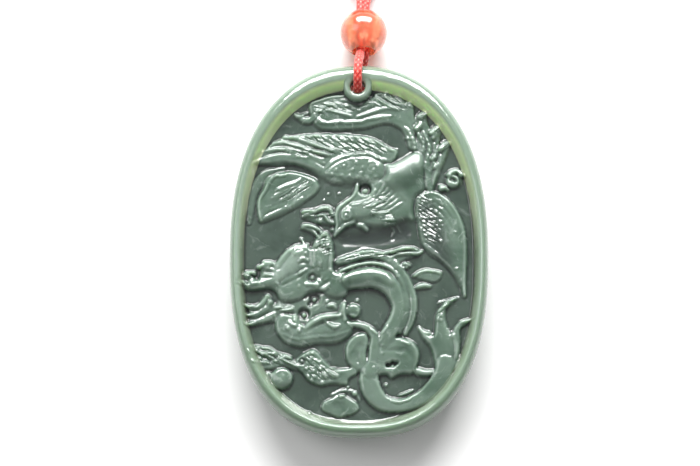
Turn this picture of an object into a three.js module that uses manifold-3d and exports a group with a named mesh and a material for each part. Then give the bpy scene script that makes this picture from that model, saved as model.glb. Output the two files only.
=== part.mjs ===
// Oval jade pendant: a phoenix carved above a dragon inside a raised round rim, on a red braided cord with
// one agate bead. Millimetres. The tablet lies on its back: +Z out of the carved face, +Y towards the hole.
// The origin is the middle of the flat of the back.
import * as THREE from 'three';
import { mergeVertices } from 'three/addons/utils/BufferGeometryUtils.js';
import Module from 'manifold-3d';

const wasm = await Module();
wasm.setup();

// Driving dimensions of the tablet
const TABLET_WIDTH = 42;
const TABLET_HEIGHT = 62;
const TABLET_THICKNESS = 8;
const RECESS_DEPTH = 2;
const POWER_TOP = 2.25;
const POWER_BOTTOM = 2.5;
const RIM_AT_SIDES = 2.8;
const RIM_AT_TOP = 4.2;
const RIM_AT_BOTTOM = 2.8;
const SIDE_TOP = 6.0;
const SIDE_FOOT = 4.6;
const BACK_EDGE_INSET = 0.45;
const BACK_RISE = 3.4;
const BACK_FLAT = 0.6;
const CELLS_ACROSS = 34;
const CELLS_ALONG = 52;

// Driving dimensions of the hole, the bead and the cord
const HOLE = new THREE.Vector2(-0.2, 27);
const HOLE_RADIUS = 1.25;
const COLLAR_RADIUS = 2.25;
const COLLAR_TOP = 7.9;
const COLLAR_FOOT = 4.2;
const COLLAR_FLARE = 0.15;
const BEAD_RADIUS = 4;
const BEAD_BORE_RADIUS = 1.8;
const BEAD_CENTRE = new THREE.Vector3(0.8, 37.5, 4);
const BEAD_TILT = THREE.MathUtils.degToRad(-6);
const CORD_DIAMETER = 1.5;
const CORD_SIDES = 8;
const CORD_STEPS = 30;
const COIL_CENTRE = new THREE.Vector2(0.8, 64);
const COIL_MIDDLE_RADIUS = 8.5;
const COIL_TURNS_WIDE = 6.2;
const COIL_LAYERS = 2;
const COIL_BOTTOM = 0.05;
const COIL_CORNER = 0.6;
const TIE_WIDTH = 2.2;
const TIE_THREAD = 0.7;
const GAP = 0.3;
const ROUND_SEGMENTS = 32;

// Sizes worked out from the driving dimensions
const HALF_WIDTH = TABLET_WIDTH / 2;
const HALF_HEIGHT = TABLET_HEIGHT / 2;
const GROUND = TABLET_THICKNESS - RECESS_DEPTH;
const RECESS_HALF_WIDTH = HALF_WIDTH - RIM_AT_SIDES;
const RECESS_HALF_HEIGHT = HALF_HEIGHT - (RIM_AT_TOP + RIM_AT_BOTTOM) / 2;
const RECESS_MIDDLE = (RIM_AT_BOTTOM - RIM_AT_TOP) / 2;

// Finishes
const JADE = new THREE.MeshStandardMaterial({ color: 0x7d9a89, roughness: 0.25, metalness: 0 });
const AGATE = new THREE.MeshStandardMaterial({ color: 0xf05a3c, roughness: 0.12, metalness: 0 });
const RED_CORD = new THREE.MeshStandardMaterial({ color: 0xd8372c, roughness: 0.7, metalness: 0 });

// The carving. A raised form is a path of [x, y, half width] places and its crest's rise over the ground.
const form = (rise, ...path) => ({ rise, path });

// A fan of forms between its first and its last one, evenly spread.
function fan(rise, count, first, last) {
  const between = (a, b, share) => a.map((value, k) => THREE.MathUtils.lerp(value, b[k], share));
  return Array.from({ length: count }, (_, n) =>
    form(rise, ...first.map((place, k) => between(place, last[k], n / (count - 1)))),
  );
}

const PHOENIX = [
  // Breast, neck and head, in one sweep
  form(1.8, [9, 15, 1.6], [7.8, 12.8, 2.8], [7, 10, 2.8], [6.4, 7.4, 2.2], [4.4, 5.6, 1.6], [1.8, 5.7, 1.6]),
  form(1.7, [1.8, 5.8, 1.6], [0.2, 6, 1.7], [-1.6, 5.6, 1.5], [-2.6, 4.9, 1.2]),
  form(1.5, [-1.6, 5.2, 1.3], [-2.9, 4.2, 0.9], [-3.6, 3, 0.6], [-3.9, 1.9, 0.3]),
  // Crest behind the head
  ...fan(
    1.5,
    2,
    [[1.8, 7.2, 0.5], [3.4, 8.6, 0.5], [5.2, 9.8, 0.3]],
    [[2.6, 6.4, 0.5], [4.6, 6.9, 0.5], [6.6, 7.6, 0.3]],
  ),
  // Left wing: shoulder, upper band, primaries and the folded lower vane
  form(1.5, [-4.6, 12.6, 1], [-2.2, 13.4, 1.9], [0.6, 13.6, 2.2], [3, 13.3, 1.6]),
  form(1.2, [4.6, 16.4, 0.8], [2, 17.4, 1.1], [-1.5, 17.8, 1.2], [-6, 18.1, 1], [-12.5, 18, 0.5]),
  ...fan(
    1.1,
    3,
    [[-3, 16.4, 0.7], [-7, 16.9, 0.7], [-11, 17.5, 0.6], [-14, 17, 0.4]],
    [[-4.8, 12.4, 0.8], [-8, 14.1, 0.9], [-12, 14.9, 0.9], [-16.6, 14.1, 0.4]],
  ),
  ...fan(
    1,
    3,
    [[-8.6, 12.2, 0.8], [-12, 12.4, 0.9], [-15.2, 11.3, 0.9], [-17, 7.5, 0.7], [-17.4, 4.6, 0.4]],
    [[-6.6, 9.6, 0.5], [-9, 8.8, 0.9], [-12, 6.9, 1], [-14.3, 5.2, 0.9], [-16.2, 4.4, 0.5]],
  ),
  // Right wing, folded down along the rim
  form(1.35, [11.2, 8.2, 2], [12.5, 5, 2.9], [13.6, 2, 3], [15, -1.5, 2.2], [16.4, -5, 1.1], [16.9, -8, 0.4]),
  // Tail: two strands swept back along the top, a plume above them, and the upright plumes at the right
  ...fan(
    1.1,
    2,
    [[8.6, 15.5, 0.7], [9.2, 18.6, 0.8], [7.3, 22.2, 0.8], [3.5, 22.9, 0.8], [-1, 22.4, 0.7], [-7, 23, 0.7]],
    [[7.4, 15.5, 0.6], [7.6, 18.6, 0.7], [6, 21, 0.7], [3, 21.4, 0.7], [-2, 20.7, 0.7], [-9, 21.6, 0.7]],
  ),
  form(1, [7.6, 23.6, 0.5], [5, 24.6, 0.9], [2, 24.6, 0.9], [-1, 24.2, 0.9], [-4, 25, 0.9], [-7, 24.6, 0.4]),
  ...fan(
    1,
    3,
    [[9.6, 16, 0.7], [10.3, 19.5, 0.7], [10.7, 22.8, 0.4]],
    [[12.4, 12, 0.6], [13.4, 15, 0.7], [14.7, 17.8, 0.4]],
  ),
  form(1.2, [10.9, 16, 0.6], [11, 13, 0.7], [11.2, 10.6, 0.7], [11.8, 9, 0.7]),
  // Curled cloud beside the right wing
  form(1.1, [15.2, 11.9, 1.2], [15.8, 11.3, 1.2]),
];

const DRAGON = [
  // The whole body: over the open loop, down, round the lower loop and up into the tail flame
  form(
    1.8,
    [-3.2, -6.3, 1.4],
    [-1, -5.4, 1.75],
    [2, -5, 1.8],
    [4.4, -5.9, 1.8],
    [6.2, -7.8, 1.7],
    [6.7, -10.2, 1.5],
    [6, -12.6, 1.4],
    [4.6, -14.6, 1.4],
    [2.8, -16.6, 1.4],
    [2, -19, 1.4],
    [1.8, -21.5, 1.6],
    [2.6, -24, 1.6],
    [4.8, -25.5, 1.5],
    [7.4, -25.7, 1.3],
    [9.8, -24.8, 1.2],
    [11.8, -23, 1.2],
    [13.2, -20.6, 1.3],
    [13.6, -17.6, 1.6],
    [13.2, -14.6, 1.3],
    [12.9, -12, 0.8],
    [13.4, -9.8, 0.6],
    [15.6, -8.5, 0.3],
  ),
  form(1.4, [14.2, -17, 1.3], [15.2, -15, 1], [16, -13.4, 0.7], [17.2, -12.3, 0.3]),
  form(1.4, [12.8, -16.6, 1], [11.4, -15.2, 0.7], [9.6, -13.2, 0.3]),
  // Fin along the outside of the open loop, with its free blade
  form(1.1, [-3.4, -2.9, 0.9], [-1, -2.4, 1.1], [2, -1.9, 1.1], [4.5, -2.5, 1], [7, -4.6, 0.9]),
  form(1.1, [7, -4.6, 0.9], [8.4, -7.6, 0.8], [8.7, -10.2, 0.7], [8.1, -12.6, 0.7], [6.9, -14.8, 0.6]),
  form(1.2, [4.6, -1.4, 0.6], [7, -0.8, 0.7], [10, -0.7, 0.4]),
  // Coils crossing below the open loop
  form(1.5, [5.2, -16.6, 1.2], [7.2, -17, 1.8], [8, -18.8, 1.5], [6.6, -20.6, 0.9]),
  form(1.4, [1.6, -13.8, 1], [-0.4, -15.4, 1.1], [-0.8, -17.6, 1.1], [0.2, -19.8, 1]),
  // Head: muzzle, cheek, brow into neck, nostril rolls, jaw, mane and horns
  form(1.75, [-9.2, -0.8, 1.2], [-11.4, -2.9, 1.4], [-13.2, -4.9, 1.3], [-15.6, -6, 1], [-17.4, -6, 0.9]),
  form(1.5, [-12.2, -6.8, 1.6], [-10.2, -6.8, 1.7]),
  form(1.5, [-9.4, -2.6, 0.9], [-7, -3.6, 1.2], [-5.2, -4.4, 1.3], [-3.6, -6, 1.3]),
  ...fan(1.3, 3, [[-15.6, -2.6, 0.5], [-14, -2.7, 0.5]], [[-15.4, -4.8, 0.5], [-13.8, -5, 0.5]]),
  form(1.4, [-14.4, -9.6, 0.6], [-12.4, -10.3, 0.7], [-10.4, -10.3, 0.6]),
  form(1.5, [-6.4, -3, 1.5], [-6.3, -0.6, 1.5], [-5.9, 1.4, 1.1], [-5.3, 3, 0.7]),
  form(1.1, [-9.2, 3.3, 0.5], [-7.6, 3.2, 0.6], [-6.2, 2, 0.6]),
  // Chest and the roll above it
  form(1.5, [-12, -10.8, 1.2], [-11.6, -13, 1.6], [-9.8, -14.4, 1.7], [-7, -14.2, 1.7], [-4.4, -13.8, 1.7]),
  form(1.4, [-4.4, -13.8, 1.7], [-3, -13.2, 1.4], [-2, -12, 1]),
  form(1.7, [-8.8, -13, 0.7], [-7, -12, 0.9], [-4.6, -11.8, 1]),
  // Fore claws at the left and the scaly hind leg
  ...fan(
    1.1,
    3,
    [[-13.4, -9.4, 0.8], [-15.8, -9.4, 0.7], [-17.6, -9.7, 0.4]],
    [[-13.8, -11.2, 0.8], [-16, -12.2, 0.7], [-17.5, -12.9, 0.4]],
  ),
  form(1.3, [-9.4, -17.8, 1], [-7.6, -19, 1.6], [-5.6, -20.6, 1.7], [-3.2, -21.4, 1.2], [-0.8, -20.2, 0.9]),
  ...fan(
    1.1,
    3,
    [[-17, -17, 0.6], [-15, -16.9, 0.6], [-12.6, -17.8, 0.6], [-10, -19, 0.5]],
    [[-16.4, -19.2, 0.6], [-15, -19.2, 0.6], [-12.4, -19, 0.6], [-9.4, -20, 0.5]],
  ),
  // Pearl and clouds
  form(1.6, [-12.5, -21.4, 1.9], [-12.4, -21.4, 1.9]),
  form(1, [-4.6, -25.7, 1.5], [-2.6, -25.9, 1.7], [-1.2, -26, 1.3]),
  form(1, [-9.2, 5.8, 0.6], [-7.2, 6, 0.7], [-5.4, 6.4, 0.7], [-4.3, 5.2, 0.6]),
  form(0.9, [8.9, -4.9, 0.5], [10.6, -4.5, 0.9], [12.9, -4.7, 0.6]),
  form(0.8, [9.4, -6.5, 0.6], [11.2, -6.3, 0.6]),
];

const SAMPLES_PER_MM = 3;
const SOFT_EDGE = 0.4;

// Samples along a form, close enough together to measure distances from.
function sampled({ rise, path }) {
  const curve = new THREE.CatmullRomCurve3(path.map((place) => new THREE.Vector3(...place)));
  const count = Math.max(2, Math.ceil(curve.getLength() * SAMPLES_PER_MM));
  return { rise, places: curve.getPoints(count) };
}

const CARVING = [...PHOENIX, ...DRAGON].map(sampled);

// Height of the carving over the ground: the highest of the rounded forms that reach the place.
function carvedRise(x, y) {
  let highest = 0;
  for (const { rise, places } of CARVING) {
    for (const place of places) {
      const share = Math.hypot(x - place.x, y - place.y) / (place.z + SOFT_EDGE);
      if (share < 1) highest = Math.max(highest, rise * (1 - share * share));
    }
  }
  return highest;
}

// A place on an oval, at an angle of the round disc that the oval is stretched from.
function ovalPlace(angle, halfWidth, halfHeight, middle) {
  const across = Math.cos(angle);
  const along = Math.sin(angle);
  const power = along >= 0 ? POWER_TOP : POWER_BOTTOM;
  const reach = (Math.abs(across) ** power + Math.abs(along) ** power) ** (-1 / power);
  return new THREE.Vector2(halfWidth * reach * across, middle + halfHeight * reach * along);
}

// A square grid drawn out to the round disc: the disc's radius and angle at a grid place.
function discPlace(column, row) {
  const u = (2 * column) / CELLS_ACROSS - 1;
  const v = (2 * row) / CELLS_ALONG - 1;
  const across = u * Math.sqrt(1 - (v * v) / 2);
  const along = v * Math.sqrt(1 - (u * u) / 2);
  return { radius: Math.hypot(across, along), angle: Math.atan2(along, across) };
}

// The rings from the foot of the rim's inner wall over the crest, down the side and in along the back.
function tabletRings() {
  const rim = [
    [0.82, 6.85],
    [0.66, 7.7],
    [0.46, TABLET_THICKNESS],
    [0.24, 7.75],
    [0.08, 7.05],
    [0, SIDE_TOP],
  ].map(([share, height]) => ({
    halfWidth: THREE.MathUtils.lerp(HALF_WIDTH, RECESS_HALF_WIDTH, share),
    halfHeight: THREE.MathUtils.lerp(HALF_HEIGHT, RECESS_HALF_HEIGHT, share),
    middle: RECESS_MIDDLE * share,
    height,
  }));
  const side = { halfWidth: HALF_WIDTH, halfHeight: HALF_HEIGHT, middle: 0, height: SIDE_FOOT };
  const edge = {
    halfWidth: HALF_WIDTH - BACK_EDGE_INSET,
    halfHeight: HALF_HEIGHT - BACK_EDGE_INSET,
    middle: 0,
    height: BACK_RISE,
  };
  const back = [0.87, 0.74, BACK_FLAT].map((share) => ({
    halfWidth: HALF_WIDTH * share,
    halfHeight: HALF_HEIGHT * share,
    middle: 0,
    height: BACK_RISE * ((share - BACK_FLAT) / (1 - BACK_FLAT)) ** 2,
  }));
  return [...rim, side, edge, ...back];
}

// The uncut tablet: the carved ground as a grid, then the rings around and behind it, closed by a flat fan.
function tabletGeometry() {
  const positions = [];
  const indices = [];
  const angles = new Map();
  const gridIndex = (column, row) => row * (CELLS_ACROSS + 1) + column;
  const quad = (a, b, c, d) => indices.push(a, b, c, a, c, d);

  for (let row = 0; row <= CELLS_ALONG; row += 1) {
    for (let column = 0; column <= CELLS_ACROSS; column += 1) {
      const { radius, angle } = discPlace(column, row);
      const edge = ovalPlace(angle, RECESS_HALF_WIDTH, RECESS_HALF_HEIGHT, 0);
      const x = edge.x * radius;
      const y = edge.y * radius + RECESS_MIDDLE;
      angles.set(gridIndex(column, row), angle);
      positions.push(x, y, GROUND + carvedRise(x, y));
    }
  }
  for (let row = 0; row < CELLS_ALONG; row += 1) {
    for (let column = 0; column < CELLS_ACROSS; column += 1) {
      quad(
        gridIndex(column, row),
        gridIndex(column + 1, row),
        gridIndex(column + 1, row + 1),
        gridIndex(column, row + 1),
      );
    }
  }

  let loop = [];
  for (let column = 0; column < CELLS_ACROSS; column += 1) loop.push(gridIndex(column, 0));
  for (let row = 0; row < CELLS_ALONG; row += 1) loop.push(gridIndex(CELLS_ACROSS, row));
  for (let column = CELLS_ACROSS; column > 0; column -= 1) loop.push(gridIndex(column, CELLS_ALONG));
  for (let row = CELLS_ALONG; row > 0; row -= 1) loop.push(gridIndex(0, row));
  const loopAngles = loop.map((index) => angles.get(index));

  for (const ring of tabletRings()) {
    const next = loopAngles.map((angle) => {
      const place = ovalPlace(angle, ring.halfWidth, ring.halfHeight, ring.middle);
      return positions.push(place.x, place.y, ring.height) / 3 - 1;
    });
    loop.forEach((inner, k) => {
      const after = (k + 1) % loop.length;
      quad(inner, next[k], next[after], loop[after]);
    });
    loop = next;
  }
  const centre = positions.push(0, 0, 0) / 3 - 1;
  loop.forEach((index, k) => indices.push(index, centre, loop[(k + 1) % loop.length]));

  const geometry = new THREE.BufferGeometry();
  geometry.setAttribute('position', new THREE.Float32BufferAttribute(positions, 3));
  geometry.setIndex(indices);
  return geometry;
}

// A closed geometry as a solid that can be joined and cut.
function solidFrom(geometry) {
  const bare = geometry.clone();
  bare.deleteAttribute('normal');
  bare.deleteAttribute('uv');
  const merged = mergeVertices(bare, 1e-4);
  return new wasm.Manifold(
    new wasm.Mesh({
      numProp: 3,
      vertProperties: new Float32Array(merged.attributes.position.array),
      triVerts: new Uint32Array(merged.index.array),
    }),
  );
}

// A solid back as a geometry with its normals.
function geometryFrom(solid) {
  const { vertProperties, triVerts } = solid.getMesh();
  const geometry = new THREE.BufferGeometry();
  geometry.setAttribute('position', new THREE.Float32BufferAttribute(vertProperties, 3));
  geometry.setIndex(Array.from(triVerts));
  geometry.computeVertexNormals();
  return geometry;
}

// An upright cylinder between two heights.
function upright(radiusTop, radiusBottom, x, y, bottom, top) {
  const geometry = new THREE.CylinderGeometry(radiusTop, radiusBottom, top - bottom, ROUND_SEGMENTS);
  return geometry.rotateX(Math.PI / 2).translate(x, y, (top + bottom) / 2);
}

function jadeTablet() {
  const flared = COLLAR_RADIUS + COLLAR_FLARE;
  const collar = upright(COLLAR_RADIUS, flared, HOLE.x, HOLE.y, COLLAR_FOOT, COLLAR_TOP);
  const drill = upright(HOLE_RADIUS, HOLE_RADIUS, HOLE.x, HOLE.y, -1, TABLET_THICKNESS + 1);
  const tablet = solidFrom(tabletGeometry()).add(solidFrom(collar)).subtract(solidFrom(drill));
  const mesh = new THREE.Mesh(geometryFrom(tablet), JADE);
  mesh.name = 'jade_tablet';
  return mesh;
}

function agateBead() {
  const mouth = Math.acos(BEAD_BORE_RADIUS / BEAD_RADIUS);
  const steps = 9;
  const profile = Array.from({ length: steps + 1 }, (_, k) => {
    const angle = -mouth + (2 * mouth * k) / steps;
    return new THREE.Vector2(BEAD_RADIUS * Math.cos(angle), BEAD_RADIUS * Math.sin(angle));
  });
  profile.push(profile[0].clone());
  const mesh = new THREE.Mesh(new THREE.LatheGeometry(profile, 24), AGATE);
  mesh.name = 'bead';
  mesh.position.copy(BEAD_CENTRE);
  mesh.rotation.x = BEAD_TILT;
  return mesh;
}

// The strand in front: up out of the hole, over the rim, through the bead and down to the coil.
const FRONT_ROUTE = [
  [-0.2, 26.75, 4.85],
  [-0.2, 26.75, 5.6],
  [-0.2, 26.75, 6.3],
  [-0.2, 26.95, 7.29],
  [-0.2, 27.51, 8.14],
  [-0.2, 28.35, 8.7],
  [-0.18, 29.35, 8.9],
  [-0.1, 30.6, 8.6],
  [0, 31.7, 7.7],
  [0.15, 32.8, 6.2],
  [0.28, 34, 5.13],
  [0.3, 35.8, 4.93],
  [0.3, 37.58, 4.75],
  [0.3, 39.4, 4.56],
  [0.3, 41.16, 4.37],
  [0.3, 43, 3.75],
  [0.1, 44.8, 2.6],
  [-0.7, 46.5, 1.5],
  [-2, 48.4, 0.95],
  [-3.8, 50.5, 0.85],
];

// The strand behind: out of the back of the hole, under the top edge, through the bead and to the coil.
const BACK_ROUTE = [
  [-0.2, 26.75, 4.55],
  [-0.2, 26.75, 4],
  [-0.2, 26.75, 3.45],
  [-0.2, 26.95, 2.44],
  [-0.18, 27.53, 1.58],
  [-0.1, 28.39, 1],
  [0.05, 29.4, 0.8],
  [0.3, 30.7, 0.95],
  [0.6, 31.9, 1.7],
  [0.9, 32.9, 2.75],
  [1.08, 33.84, 3.5],
  [1.1, 35.6, 3.4],
  [1.1, 37.42, 3.2],
  [1.1, 39.2, 3.01],
  [1.1, 41, 2.83],
  [1.2, 43, 2.2],
  [1.6, 44.8, 1.4],
  [2.4, 46.6, 0.95],
  [3.6, 48.4, 0.85],
  [5.4, 50.5, 0.85],
];

function cordStrand(name, route) {
  const section = new THREE.Shape(
    Array.from({ length: CORD_SIDES }, (_, k) => {
      const angle = (2 * Math.PI * k) / CORD_SIDES;
      return new THREE.Vector2(Math.cos(angle), Math.sin(angle)).multiplyScalar(CORD_DIAMETER / 2);
    }),
  );
  const path = new THREE.CatmullRomCurve3(route.map((place) => new THREE.Vector3(...place)));
  const geometry = new THREE.ExtrudeGeometry(section, {
    steps: CORD_STEPS,
    extrudePath: path,
    bevelEnabled: false,
  });
  const mesh = new THREE.Mesh(geometry, RED_CORD);
  mesh.name = name;
  return mesh;
}

// Radial and upright reach of the wound cord's section.
const COIL_HALF_WIDE = (COIL_TURNS_WIDE * CORD_DIAMETER) / 2;
const COIL_HIGH = COIL_LAYERS * CORD_DIAMETER;

// The outer shape of the wound cord, with the notch where the tie passes under it.
function cordCoil() {
  const inner = COIL_MIDDLE_RADIUS - COIL_HALF_WIDE;
  const outer = COIL_MIDDLE_RADIUS + COIL_HALF_WIDE;
  const top = COIL_BOTTOM + COIL_HIGH;
  const corners = [
    [inner, COIL_BOTTOM + COIL_CORNER],
    [inner + COIL_CORNER, COIL_BOTTOM],
    [outer - COIL_CORNER, COIL_BOTTOM],
    [outer, COIL_BOTTOM + COIL_CORNER],
    [outer, top - COIL_CORNER],
    [outer - COIL_CORNER, top],
    [inner + COIL_CORNER, top],
    [inner, top - COIL_CORNER],
  ].map((corner) => new THREE.Vector2(...corner));
  const ring = new THREE.LatheGeometry([...corners, corners[0].clone()], ROUND_SEGMENTS).rotateX(Math.PI / 2);
  const notchHeight = 2 * (TIE_THREAD + GAP);
  const notch = new THREE.BoxGeometry(TIE_WIDTH + 2 * GAP, 4 * COIL_HALF_WIDE, notchHeight);
  notch.translate(0, COIL_MIDDLE_RADIUS, 0);
  const mesh = new THREE.Mesh(geometryFrom(solidFrom(ring).subtract(solidFrom(notch))), RED_CORD);
  mesh.name = 'cord_coil';
  mesh.position.set(COIL_CENTRE.x, COIL_CENTRE.y, 0);
  return mesh;
}

// A round-cornered rectangle in the plane of the coil's section.
function roundedOutline(Outline, low, high, corner) {
  const outline = new Outline();
  outline.moveTo(low.x + corner, low.y);
  outline.lineTo(high.x - corner, low.y);
  outline.quadraticCurveTo(high.x, low.y, high.x, low.y + corner);
  outline.lineTo(high.x, high.y - corner);
  outline.quadraticCurveTo(high.x, high.y, high.x - corner, high.y);
  outline.lineTo(low.x + corner, high.y);
  outline.quadraticCurveTo(low.x, high.y, low.x, high.y - corner);
  outline.lineTo(low.x, low.y + corner);
  outline.quadraticCurveTo(low.x, low.y, low.x + corner, low.y);
  return outline;
}

// The tie: a flat wrapping of thread around the coil's section, on the side away from the tablet.
function coilTie() {
  const reach = COIL_HALF_WIDE + GAP;
  const low = new THREE.Vector2(-reach, TIE_THREAD);
  const high = new THREE.Vector2(reach, COIL_BOTTOM + COIL_HIGH + GAP);
  const thread = new THREE.Vector2(TIE_THREAD, TIE_THREAD);
  const band = roundedOutline(THREE.Shape, low.clone().sub(thread), high.clone().add(thread), 2 * TIE_THREAD);
  band.holes.push(roundedOutline(THREE.Path, low, high, TIE_THREAD / 2));
  const geometry = new THREE.ExtrudeGeometry(band, {
    depth: TIE_WIDTH,
    bevelEnabled: false,
    curveSegments: 3,
  });
  geometry.translate(0, 0, -TIE_WIDTH / 2).rotateX(Math.PI / 2).rotateZ(Math.PI / 2);
  const mesh = new THREE.Mesh(geometry, RED_CORD);
  mesh.name = 'coil_tie';
  mesh.position.set(COIL_CENTRE.x, COIL_CENTRE.y + COIL_MIDDLE_RADIUS, 0);
  return mesh;
}

const pendant = new THREE.Group();
pendant.add(jadeTablet());

const necklace = new THREE.Group();
necklace.add(agateBead());
necklace.add(cordStrand('cord_front', FRONT_ROUTE));
necklace.add(cordStrand('cord_back', BACK_ROUTE));
necklace.add(cordCoil());
necklace.add(coilTie());
pendant.add(necklace);

export default pendant;
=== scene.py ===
"""Looks of an oval jade pendant, a phoenix carved over a dragon, on a red cord with one bead.

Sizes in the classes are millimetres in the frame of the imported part: the origin is under the middle of the
tablet's back, +Z points out of the carved face and +Y towards the cord hole. Meshes are made in metres.
"""

import logging
import math
from collections.abc import Sequence
from dataclasses import dataclass
from enum import Enum

import bpy
import numpy as np
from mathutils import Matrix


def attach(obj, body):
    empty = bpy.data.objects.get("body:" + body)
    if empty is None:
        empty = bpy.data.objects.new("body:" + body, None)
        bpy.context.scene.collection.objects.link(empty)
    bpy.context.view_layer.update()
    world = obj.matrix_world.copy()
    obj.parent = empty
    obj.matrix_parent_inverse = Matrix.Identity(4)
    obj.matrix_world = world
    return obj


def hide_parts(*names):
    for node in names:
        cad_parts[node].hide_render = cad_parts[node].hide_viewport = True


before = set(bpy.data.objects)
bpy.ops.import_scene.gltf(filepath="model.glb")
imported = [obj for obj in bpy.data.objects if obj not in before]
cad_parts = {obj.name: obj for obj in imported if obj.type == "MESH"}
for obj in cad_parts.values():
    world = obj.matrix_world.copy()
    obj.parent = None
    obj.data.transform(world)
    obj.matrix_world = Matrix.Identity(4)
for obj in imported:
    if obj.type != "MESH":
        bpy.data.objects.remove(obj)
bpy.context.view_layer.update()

MM = 0.001
BODY = "root"
OFF_AXIS = (0.3, 0.2, 0.9)
CLOUD_RANGE = (0.36, 0.58)
WISP_RANGE = (0.54, 0.76)
WISP_FINENESS = 2.3
WORN_RANGE = (0.32, 0.66)
FACET_SLOPES = (1.5, 0.5)
FACET_EDGE = 4
FLAT_POWER = 6
ROUND_POWER = 0.5
CROWN_POWER = 0.8
KNOB_RUN = 0.01
STUD_SEAT = 0.05
LINE_TAPER = 0.7
LINE_SEAT = 0.07
CIRCLE_POINTS = 13
STROKE_STEP = 0.1
STROKE_SHIFT = 0.2
STROKE_SWING = 9
STROKE_LENGTHS = (0.75, 1.2)
STROKE_RISES = (0.8, 1.2)
STROKE_BOW = 0.18
STROKE_TAPER = (0.6, 0.5)
STROKE_SEAT = 0.06
log = logging.getLogger("pendant")

Point = tuple[float, ...]
Colour = tuple[float, float, float]
Array = np.ndarray
Piece = bpy.types.Object
Material = bpy.types.Material
Node = bpy.types.Node
Socket = bpy.types.NodeSocket
Tree = bpy.types.NodeTree


def smooth_path(points: Sequence[Point], step: float) -> Array:
    """Runs a Catmull-Rom curve through given points.

    Args:
        points: Rows of a place and, where the caller adds them, widths that are carried along.
        step: Largest distance between neighbouring samples.

    Returns:
        One row for each sample, with the columns of the points.
    """
    rows = np.array(points, dtype=float)
    ends = np.vstack([2 * rows[0] - rows[1], rows, 2 * rows[-1] - rows[-2]])
    runs = []
    for before, start, end, after in zip(ends, ends[1:], ends[2:], ends[3:]):
        count = max(2, int(np.linalg.norm((end - start)[:3]) / step) + 1)
        t = np.linspace(0.0, 1.0, count, endpoint=False)[:, None]
        linear = (end - before) * t
        square = (2 * before - 5 * start + 4 * end - after) * t**2
        cube = (3 * start - before - 3 * end + after) * t**3
        runs.append(0.5 * (2 * start + linear + square + cube))
    runs.append(rows[-1:])
    return np.vstack(runs)


def run_length(path: Array) -> Array:
    """Returns the distance along a path at each of its samples."""
    steps = np.linalg.norm(np.diff(path, axis=0), axis=1)
    return np.concatenate([[0.0], np.cumsum(steps)])


def even_path(path: Array, step: float) -> Array:
    """Returns the same path with samples at even distances of about one step."""
    length = run_length(path)
    places = np.linspace(0.0, length[-1], int(round(length[-1] / step)) + 1)
    return np.column_stack([np.interp(places, length, axis) for axis in path.T])


def mesh_object(name: str, places: Array, faces: Array, **values: Array) -> Piece:
    """Makes a smooth-shaded mesh object.

    Args:
        name: The piece's name.
        places: Vertices in millimetres.
        faces: Rows of vertex numbers; a row whose last two are alike is a triangle.
        **values: One number for each vertex, kept as a named attribute.

    Returns:
        The object, linked to the scene, at the origin.
    """
    sides = np.where(faces[:, -1] == faces[:, -2], faces.shape[1] - 1, faces.shape[1])
    corners = np.concatenate([row[:side] for row, side in zip(faces, sides)])
    mesh = bpy.data.meshes.new(name)
    mesh.vertices.add(len(places))
    mesh.vertices.foreach_set("co", (places * MM).astype(np.float32).ravel())
    mesh.loops.add(len(corners))
    mesh.loops.foreach_set("vertex_index", corners.astype(np.int32))
    mesh.polygons.add(len(faces))
    starts = np.concatenate([[0], np.cumsum(sides)[:-1]])
    mesh.polygons.foreach_set("loop_start", starts.astype(np.int32))
    for key, numbers in values.items():
        layer = mesh.attributes.new(key, "FLOAT", "POINT")
        layer.data.foreach_set("value", np.asarray(numbers, dtype=np.float32))
    mesh.update(calc_edges=True)
    mesh.validate()
    mesh.shade_smooth()
    made = bpy.data.objects.new(name, mesh)
    bpy.context.collection.objects.link(made)
    return made


def make_plain(piece: Piece) -> None:
    """Turns what a piece's modifiers make into its plain mesh."""
    seen = piece.evaluated_get(bpy.context.evaluated_depsgraph_get())
    plain = bpy.data.meshes.new_from_object(seen)
    piece.modifiers.clear()
    piece.data = plain


def triangles(piece: Piece) -> int:
    """Returns how many triangles a piece has."""
    return sum(len(face.vertices) - 2 for face in piece.data.polygons)


def tube_rows(path: Array, radii: Array) -> tuple[Array, Array]:
    """Sweeps a ring along a path without twisting it, and closes both ends.

    Args:
        path: Centreline samples.
        radii: One row of ring radii for each sample.

    Returns:
        The vertices and the faces.
    """
    count, sides = radii.shape
    ahead = np.gradient(path, axis=0)
    ahead /= np.linalg.norm(ahead, axis=1)[:, None]
    across = np.zeros_like(path)
    across[0] = np.cross(ahead[0], OFF_AXIS)
    for k in range(count):
        side = across[max(k - 1, 0)]
        side = side - ahead[k] * (side @ ahead[k])
        across[k] = side / np.linalg.norm(side)
    upward = np.cross(ahead, across)
    turn = np.arange(sides) * 2 * math.pi / sides
    spread = across[:, None] * np.cos(turn)[None, :, None] + upward[:, None] * np.sin(turn)[None, :, None]
    places = (path[:, None] + spread * radii[:, :, None]).reshape(-1, 3)
    ring = np.arange(sides)
    step = (ring + 1) % sides
    rows = np.arange(count - 1)[:, None] * sides
    walls = np.stack([rows + ring, rows + step, rows + sides + step, rows + sides + ring], axis=-1)
    first = np.stack([np.full(sides, len(places)), step, ring, ring], axis=-1)
    row = (count - 1) * sides
    last = np.stack([np.full(sides, len(places) + 1), row + ring, row + step, row + step], axis=-1)
    places = np.vstack([places, path[:1], path[-1:]])
    return places, np.vstack([walls.reshape(-1, 4), first, last])


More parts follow.
